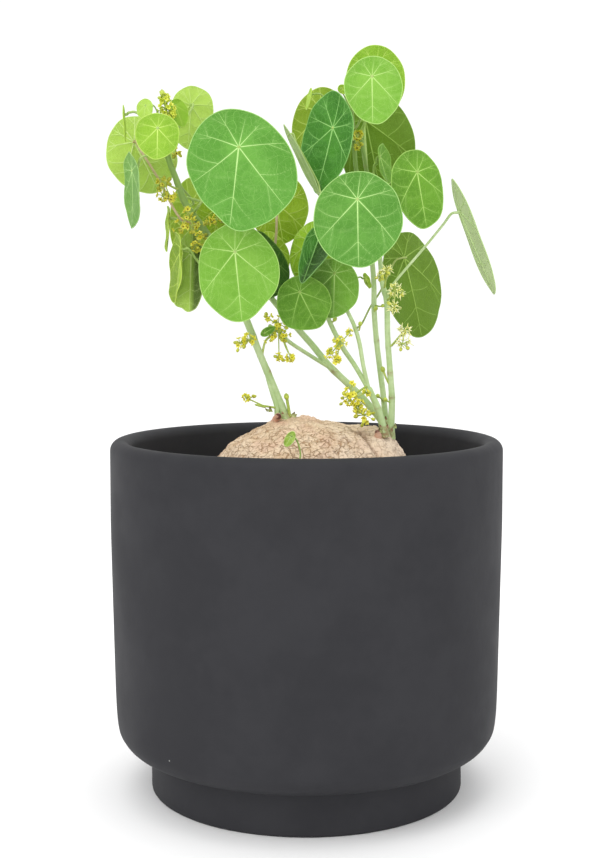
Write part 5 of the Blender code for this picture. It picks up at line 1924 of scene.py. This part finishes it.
def bark_material(finish: BarkFinish) -> Material:
    """Corky plates with brown fissures, wrinkles and rosy patches, paler towards the right, with painted
    shade in the fold and in the hollow beside the right knob.

    Args:
        finish: The colours.

    Returns:
        The material.
    """
    paint = Paint("caudex_bark_skin")
    rosy = paint.span(paint.noise(paint.here, 75.0, 2.0), 0.5, 0.72, 0.0, 0.6)
    rosy = paint.math("MAXIMUM", rosy, paint.attribute("rosy"))
    skin = paint.mix(rosy, paint.mottle(finish.light, finish.plate, 140.0)["Colour"], finish.rosy)
    # paler towards the right
    skin = paint.mix(paint.attribute("paler_right"), skin, finish.paler_right)
    fleck = paint.span(paint.noise(paint.here, 1500.0, 4.0), 0.5, 0.75, 0.0, 0.3)
    skin = paint.mix(fleck, skin, finish.fissure)
    place = paint.wander(paint.here, 380.0, 0.0024)
    seams = []
    for cells, low, high, most in ((385.0, 0.37, 0.51, 0.8), (820.0, 0.48, 0.62, 0.4)):
        edge = paint.span(paint.seams(place, cells), 0.015, 0.09, 1.0, 0.0)
        broken = paint.span(paint.noise(paint.here, cells * 1.1, 1.0), low, high, 0.0, most)
        seams.append(paint.math("MULTIPLY", edge, broken))
    line = paint.math("MULTIPLY", paint.math("MAXIMUM", *seams), paint.attribute("plated"))
    fissure = paint.span(paint.attribute("fissure"), 0.3, 1.0, 0.0, 0.3)
    skin = paint.mix(paint.math("MAXIMUM", fissure, line), skin, finish.fissure)
    # painted shade in the fold and in the hollow beside the right knob
    fold_shade = paint.math("MULTIPLY", paint.attribute("crease_and_shade"), 0.7)
    paint.surface(paint.mix(fold_shade, skin, finish.crease_and_shade), finish.roughness, 0.2)
    wrinkle = paint.noise(paint.here, 700.0, 4.0)
    depth = paint.math("SUBTRACT", wrinkle, paint.math("MULTIPLY", line, 0.8))
    paint.relief(depth, 0.9, 0.0007)
    return paint.material


@dataclass
class Caudex:
    """The swollen stem: a flattened dome with knobs, corky plates and fissures between them.

    bumps are x, y, rise and spread of each knob and hollow, and crease is the line of a fold, along
    which painted shade also darkens the bark. pocket is where painted shade darkens the hollow
    beside the right knob, as x, y and its reach both ways. rosy_spots are x, y, z and reach.
    """

    soil_top: float = 112.0
    centre: tuple[float, float] = (1.6, 0.0)
    half_width: float = 40.6
    half_depth: float = 37.4
    height: float = 29.0
    buried: float = 20.0
    squareness: float = 2.32
    bumps: tuple[Row, ...] = (
        (-8.0, -2.0, 3.0, 7.0), (29.0, 0.0, 3.8, 5.5), (19.5, -2.2, -2.0, 2.4), (-1.5, -3.0, 1.1, 0.9),
        (0.8, -2.5, 1.3, 0.9), (2.9, -3.5, 1.2, 0.85), (1.0, -2.0, 0.5, 2.6), (-24.0, -3.0, -0.9, 5.0),
        (-22.0, -16.0, 0.8, 5.0), (10.0, -20.0, 1.4, 7.0), (-4.0, 18.0, 1.6, 8.0),
    )
    crease_and_shade: tuple[tuple[float, float], ...] = (
        (14.0, -3.0), (20.5, -10.0), (26.0, -19.0), (29.5, -27.0),
    )
    shade_pocket: Row = (19.5, -8.5, 4.2, 5.5)
    rosy_spots: tuple[Row, ...] = (
        (1.0, -3.0, 143.0, 4.5), (29.0, -4.0, 140.0, 4.0), (-9.0, -8.0, 141.0, 3.0),
    )
    around: int = 440
    rings: int = 190

    SHARE_ABOVE = 0.86

    def rise(self, x: Array, y: Array) -> Array:
        """Height that the knobs add, less the fold's depth.

        Args:
            x: The places' x.
            y: The places' y.

        Returns:
            A height for each place.
        """
        total = np.zeros_like(x)
        for bx, by, rise, spread in self.bumps:
            total += rise * np.exp(-((x - bx) ** 2 + (y - by) ** 2) / (2 * spread**2))
        return total - 2.4 * np.exp(-((self.from_crease(x, y) / 1.7) ** 2))

    def from_crease(self, x: Array, y: Array) -> Array:
        """Distance to the fold's line.

        Args:
            x: The places' x.
            y: The places' y.

        Returns:
            A distance for each place.
        """
        away = np.full(len(x), 99.0)
        here = np.column_stack([x, y])
        for first, end in zip(np.array(self.crease_and_shade), np.array(self.crease_and_shade[1:])):
            step = end - first
            t = np.clip((here - first) @ step / (step @ step), 0, 1)
            away = np.minimum(away, np.linalg.norm(here - first - t[:, None] * step, axis=1))
        return away

    def form(self, level: Array, turn: Array) -> Array:
        """Points of the dome.

        Args:
            level: 0 at the top, 1 at the soil and 2 at the buried bottom.
            turn: The angle round the axis.

        Returns:
            The points.
        """
        above = level < 1
        power = np.where(above, 2 / self.squareness, 0.8)
        out = np.abs(np.sin(level * math.pi / 2)) ** power
        up = np.abs(np.cos(level * math.pi / 2)) ** power
        x = self.half_width * out * np.cos(turn)
        y = self.half_depth * out * np.sin(turn)
        fade = np.clip(4 * (1 - level), 0, 1)
        first = np.sin(0.42 * x + 1.3 * np.sin(0.21 * y)) * np.sin(0.38 * y + 0.9)
        second = np.sin(0.81 * x - 0.5 * y + 0.7) * np.sin(0.72 * y + 0.33 * x)
        relief = (0.45 * first + 0.25 * second) * fade
        x = x + relief * out * np.cos(turn) + self.centre[0]
        y = y + relief * out * np.sin(turn) + self.centre[1]
        dome = self.soil_top + self.height * up + self.rise(x, y) * fade + relief * up
        return np.column_stack([x, y, np.where(above, dome, self.soil_top - self.buried * up)])

    def bark(self, point: Array) -> tuple[float, float]:
        """The bark's relief and its cracks at one point.

        Args:
            point: A point of the dome.

        Returns:
            The height along the normal in millimetres, and how cracked it is from 0 to 1.
        """
        if point[2] < self.soil_top - 1.5:
            return 0.0, 0.0
        p = Vector(point)
        p += noise.noise_vector(p / 6.0) * 1.5 + noise.noise_vector(p / 1.7) * 0.55
        stretched = Vector((p.x / 3.9, p.y / 3.9, p.z / 3.1))
        far = noise.voronoi(stretched)[0]
        near = noise.voronoi(stretched * 2.2)[0]
        seam, fine = far[1] - far[0], near[1] - near[0]
        scaly = 0.25 + 0.75 * min(1.0, max(0.0, noise.noise(p / 11.0) * 2.4 + 0.62))
        broken = min(1.0, max(0.15, noise.noise(p / 2.6) * 2.5 + 0.75))
        broad = broken * math.exp(-((seam / 0.075) ** 2))
        thin = 0.5 * math.exp(-((fine / 0.09) ** 2))
        ridged = noise.noise(Vector((p.x / 2.6 + p.z / 1.8, p.y / 2.6, p.z / 5.0)))
        plates = 0.22 * min(1.0, seam * 1.6) + 0.08 * min(1.0, fine * 1.6)
        height = scaly * (plates - 0.34 * broad - 0.16 * thin) + 0.2 * ridged
        return height + 0.08 * noise.noise(p / 0.9), min(1.0, scaly * (broad + 0.6 * thin))

    def mark(self, obj: Piece, points: Array) -> None:
        """Keep how much painted shade lies in the fold and the hollow, how much paler the right side is,
        and how plated and rosy the bark is.

        Args:
            obj: The caudex.
            points: Its points before the bark's relief.
        """
        x, y, z = points.T
        # painted shade along the fold, fuller higher up
        fold = np.exp(-((self.from_crease(x, y) / 1.0) ** 2))
        fold *= np.clip((z - self.soil_top - 14) / 8, 0.25, 1)
        # painted shade in the hollow beside the right knob
        px, py, wide, deep = self.shade_pocket
        hollow = ((x - px) / wide) ** 2 + ((y - py) / deep) ** 2
        write_numbers(obj, "crease_and_shade", np.maximum(fold, 0.75 * np.exp(-(hollow**2))))
        # paler towards the right, from x = 4 mm over 30 mm
        write_numbers(obj, "paler_right", 0.6 * np.clip((x - 4) / 30, 0, 1))
        bald = np.clip((x - 14) / 14, 0, 1) + np.clip((z - 138.5) / 3, 0, 1)
        write_numbers(obj, "plated", 1 - 0.6 * np.clip(bald, 0, 1))
        rosy = np.zeros(len(points))
        for *place, reach in self.rosy_spots:
            away = np.linalg.norm(points - place, axis=1)
            rosy = np.maximum(rosy, 0.8 * np.exp(-((away / reach) ** 2)))
        write_numbers(obj, "rosy", rosy)

    def build(self) -> None:
        """Model the caudex and let it stand for its node."""
        ball = bpy.ops.mesh.primitive_uv_sphere_add
        obj = start(ball, "caudex_body", segments=self.around, ring_count=self.rings, radius=MM)
        p = points_of(obj)
        share = np.arccos(np.clip(p[:, 2] / np.linalg.norm(p, axis=1), -1, 1)) / math.pi
        rest = self.SHARE_ABOVE
        level = np.where(share < rest, share / rest, 1 + (share - rest) / (1 - rest))
        points = self.form(level, np.arctan2(p[:, 1], p[:, 0]))
        move_points(obj, points)
        outward(obj)
        normals = np.empty(len(points) * 3, np.float32)
        obj.data.vertices.foreach_get("normal", normals)
        noise.seed_set(SEED)  # noise_vector follows the clock until it has a seed
        heights, cracks = np.array([self.bark(point) for point in points]).T
        move_points(obj, points + normals.reshape(-1, 3) * heights[:, None])
        write_numbers(obj, "fissure", cracks)
        self.mark(obj, points)
        hand_over(dress(obj, bark_material(BarkFinish()), 80), "caudex", "caudex")


# Soil


def soil_material(finish: SoilFinish, crumbs: bool) -> Material:
    """Potting mix, or the crumbs and grit that lie on it.

    Args:
        finish: The colours.
        crumbs: True for the pieces on top, which vary by their own tint.

    Returns:
        The material.
    """
    paint = Paint("soil_crumb_skin" if crumbs else "soil_skin")
    colour = paint.mottle(finish.dark, finish.light, 330.0)["Colour"]
    if crumbs:
        tint = paint.attribute("tint")
        colour = paint.mix(paint.span(tint, 0.3, 0.6), colour, finish.crumb)
        colour = paint.mix(paint.span(tint, 0.82, 0.86), colour, finish.grit)
    paint.surface(colour, 0.95, 0.15)
    paint.relief(paint.noise(paint.here, 1100.0, 5.0), 0.9, 0.0006)
    return paint.material


@dataclass
class Soil:
    """The potting mix up to its level, hollowed for the caudex, and the crumbs on top of it."""

    top: float = 112.0
    wall: float = 66.6
    caudex: Caudex = field(default_factory=Caudex)
    crumbs: int = 640
    steps: int = 220

    PATTERNS = 3
    CLEAR_OF_CAUDEX = 0.5

    def level(self, x: float, y: float) -> float:
        """Height of the lumpy surface at a place.

        Args:
            x: The place's x.
            y: The place's y.

        Returns:
            The height above the foot.
        """
        p = Vector((x, y, 0.0))
        lumps = noise.fractal(p / 7.0, 1.0, 2.0, 4) * 1.1 + noise.noise(p / 2.2) * 0.45
        wide = self.caudex.half_width + self.CLEAR_OF_CAUDEX
        deep = self.caudex.half_depth + self.CLEAR_OF_CAUDEX
        reach = math.hypot((x - self.caudex.centre[0]) / wide, (y - self.caudex.centre[1]) / deep)
        if reach >= 1.0:
            bank = 0.9 * math.exp(-((reach - 1.0) / 0.05) ** 2)
            fade = max(0.0, min(1.0, (self.wall - math.hypot(x, y)) / 3.0))
            return self.top + (lumps + bank) * fade
        bowl = (self.caudex.buried + 0.6) * math.cos(math.asin(reach**1.25)) ** 0.8
        return self.top - bowl + (lumps + 0.9) * max(0.0, 1 - (1 - reach) * 25)

    def build(self) -> None:
        """Model the fill and its crumbs, which together stand for the soil's node."""
        profile = [(0.0, 9.35), (30.0, 9.35), (48.5, 9.35), (51.4, 12.5), (63.85, 28.2), (66.05, 50.0)]
        profile += [(66.3, 80.0), (66.65, 111.0), (66.2, 111.8)]
        profile += [(float(r), self.top) for r in np.linspace(65.4, 0.0, 64)]
        fill = model_turned("soil_fill", profile, self.steps)
        p = points_of(fill)
        on_top = (np.abs(p[:, 2] - self.top) < 0.4) & (np.hypot(p[:, 0], p[:, 1]) < 66.4)
        p[on_top, 2] = [self.level(x, y) for x, y in p[on_top, :2]]
        move_points(fill, p)
        outward(fill)
        hand_over(dress(fill, soil_material(SoilFinish(), False), 70), "soil", "soil")
        self.scatter()

    def scatter(self) -> None:
        """Lay crumbs of bark, perlite and grit over the mix."""
        rng = np.random.default_rng(SEED + 7)
        patterns = []
        for k in range(self.PATTERNS):
            ball = bpy.ops.mesh.primitive_ico_sphere_add
            one = start(ball, f"crumb_pattern_{k}", subdivisions=1, radius=MM)
            p = points_of(one)
            move_points(one, p * rng.uniform(0.68, 1.2, (len(p), 1)) * (1.0, 0.75, 0.6))
            outward(one)
            patterns.append(one)
        pieces: list[Piece] = []
        while len(pieces) < self.crumbs:
            turn, out = rng.uniform(0, 2 * math.pi), math.sqrt(rng.uniform(38.0**2, 65.0**2))
            x, y = out * math.cos(turn), out * math.sin(turn)
            if math.hypot((x - 2.0) / 42.5, y / 38.5) < 1.02:
                continue
            size = rng.uniform(0.45, 1.0) * (1.7 if rng.random() < 0.15 else 1.0)
            lie = unit((rng.normal(0, 0.3), rng.normal(0, 0.3), 1))
            place = (x, y, self.level(x, y) + size * 0.25)
            pattern = patterns[len(pieces) % self.PATTERNS]
            one = set_on(pattern, f"crumb_{len(pieces)}", place, lie, size, turn * 3)
            write_numbers(one, "tint", np.full(len(one.data.vertices), rng.random()))
            pieces.append(one)
        remove(*patterns)
        whole = join(pieces, "soil_crumbs")
        hand_over(dress(whole, soil_material(SoilFinish(), True), 30), "soil")


# Pot


def ceramic_material(finish: PotFinish) -> Material:
    """A matte dark glaze, a little uneven, with a few pale specks of dust.

    Args:
        finish: The colours.

    Returns:
        The material.
    """
    paint = Paint("pot_glaze")
    glaze = paint.mottle(finish.glaze, finish.mottle, 28.0)["Colour"]
    dust = paint.add("ShaderNodeTexVoronoi", {"Vector": paint.here, "Scale": 55.0})
    speck = paint.span(dust.outputs["Distance"], 0.012, 0.022, 1.0, 0.0)
    mark = paint.math("MULTIPLY", speck, paint.span(paint.noise(paint.here, 31.0, 1.0), 0.62, 0.66))
    least, most = finish.roughness - 0.05, finish.roughness + 0.05
    rough = paint.span(paint.noise(paint.here, 45.0), 0.3, 0.7, least, most)
    paint.surface(paint.mix(mark, glaze, finish.speck), rough, 0.1)
    paint.relief(paint.noise(paint.here, 520.0, 4.0), 0.2, 0.0002)
    return paint.material


@dataclass
class Pot:
    """A broad round pot with a narrower foot, straight walls and a rounded lip."""

    height: float = 135.3
    rim_radius: float = 75.0
    rim_inner_radius: float = 67.2
    foot_radius: float = 60.4
    foot_height: float = 16.7
    foot_edge: float = 1.2
    floor: float = 9.0
    unevenness: float = 0.14
    steps: int = 192

    def profile(self) -> list[tuple[float, float]]:
        """The wall's outline from the axis under the foot, round the lip, to the axis inside.

        Returns:
            Radius and height of each point.
        """
        foot, edge, top = self.foot_radius, self.foot_edge, self.foot_height
        outline = [(0.0, 0.0), (30.0, 0.0), (foot - 1.6, 0.0)]
        turn = np.radians(np.linspace(-90, 0, 5))
        outline += [(foot - edge + edge * math.cos(t), edge + edge * math.sin(t)) for t in turn]
        outline += [(foot, 6.0), (foot, 12.0), (foot, top - 0.8), (foot + 0.25, top - 0.2)]
        outline += [(foot + 0.9, top)]
        shoulder = [(61.5, top), (67.5, 18.0), (71.5, 21.5), (73.4, 28.0), (74.2, 50.0)]
        outline += list(smooth_path([*shoulder, (self.rim_radius, 105.0)], 7)[1:])
        outline += [(self.rim_radius, z) for z in (112.0, 119.0, 126.0)]
        lip = (self.rim_radius - self.rim_inner_radius) / 2
        middle, height = self.rim_radius - lip, self.height - lip
        turn = np.radians(np.linspace(0, 180, 15))
        outline += [(middle + lip * math.cos(t), height + lip * math.sin(t)) for t in turn]
        outline += [(self.rim_inner_radius - 0.05, 124.0), (self.rim_inner_radius - 0.2, 114.0)]
        outline += [(66.8, 90.0), (66.4, 50.0), (64.5, 28.0), (52.0, 12.0)]
        outline += [(49.0, self.floor), (25.0, self.floor), (0.0, self.floor)]
        return [(float(r), float(z)) for r, z in outline]

    def build(self) -> None:
        """Model the pot and let it stand for its node."""
        pot = model_turned("pot_body", self.profile(), self.steps)
        p = points_of(pot)
        out = np.hypot(p[:, 0], p[:, 1])
        standing = (out > 55) & (p[:, 2] > 2)
        for i in np.nonzero(standing)[0]:
            p[i, :2] *= 1 + noise.noise(Vector(p[i]) / 38.0) * self.unevenness / out[i]
        move_points(pot, p)
        outward(pot)
        hand_over(dress(pot, ceramic_material(PotFinish()), 40), "pot", "pot")


# Studio


@dataclass
class Studio:
    """A pale floor, soft light from above and all round, and the camera of the photograph.

    eye and pitch place the camera, and focal is its focal length in pixels of an image that is
    image_height high. lamps are each light's name, place and size in metres, and watts.
    """

    eye: Point = (0.0, -533.6, 188.5)
    pitch: float = 5.34
    focal: float = 1393.5
    image_height: int = 858
    sensor: float = 36.0
    floor_colour: Colour = (252, 252, 252)
    backdrop: float = 1.08
    aim: Point = (0.0, 0.0, 0.14)
    lamps: tuple[tuple[str, Point, float, float], ...] = (
        ("key_light", (-0.9, -1.3, 1.9), 1.4, 14.0),
        ("fill_light", (1.5, -0.9, 1.2), 1.4, 2.1),
        ("low_light", (-0.3, -1.5, 0.3), 1.2, 3.7),
        ("top_light", (0.1, 0.5, 2.2), 1.8, 9.0),
    )

    def floor(self) -> None:
        """A large plane with a slightly uneven paint."""
        grid = bpy.ops.mesh.primitive_grid_add
        floor = start(grid, "studio_floor", x_subdivisions=8, y_subdivisions=8, size=24.0)
        paint = Paint("floor_paint")
        softer = tuple(c - 1 for c in self.floor_colour)
        paint.surface(paint.mottle(self.floor_colour, softer, 1.5)["Colour"], 0.85, 0.1)
        wear(floor, paint.material)

    def light(self, name: str, place: Point, size: float, watts: float) -> None:
        """One soft square light that looks at the plant.

        Args:
            name: The lamp's name.
            place: Where it stands, in metres.
            size: Its side in metres.
            watts: Its power.
        """
        bpy.ops.object.light_add(type="AREA", location=place)
        lamp = bpy.context.active_object
        lamp.name = name
        lamp.data.size = size
        lamp.data.energy = watts
        aim = Vector(self.aim) - Vector(place)
        lamp.rotation_euler = aim.to_track_quat("-Z", "Y").to_euler()

    def build(self) -> None:
        """Set the world, the lights, the floor and the camera."""
        scene = bpy.context.scene
        scene.view_settings.view_transform = "Standard"
        scene.world = bpy.data.worlds.new("studio_white")
        scene.world.use_nodes = True
        backdrop = scene.world.node_tree.nodes["Background"]
        backdrop.inputs["Color"].default_value = (1.0, 1.0, 1.0, 1.0)
        backdrop.inputs["Strength"].default_value = self.backdrop
        self.floor()
        for lamp in self.lamps:
            self.light(*lamp)
        bpy.ops.object.camera_add(location=[c * MM for c in self.eye])
        camera = bpy.context.active_object
        camera.name = "photo_camera"
        camera.rotation_euler = (math.radians(90 - self.pitch), 0.0, 0.0)
        camera.data.sensor_width = self.sensor
        camera.data.lens = self.focal * self.sensor / self.image_height
        camera.data.clip_start = 0.01
        scene.camera = camera


def main() -> None:
    """Build the plant and its surroundings in order, and say what was made."""
    log.info("%d nodes to dress", len(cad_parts))
    Pot().build()
    Soil().build()
    Caudex().build()
    Stems(STEMS, UMBELS).build()
    Foliage(LEAVES).build()
    Studio().build()


if __name__ == "__main__":
    main()
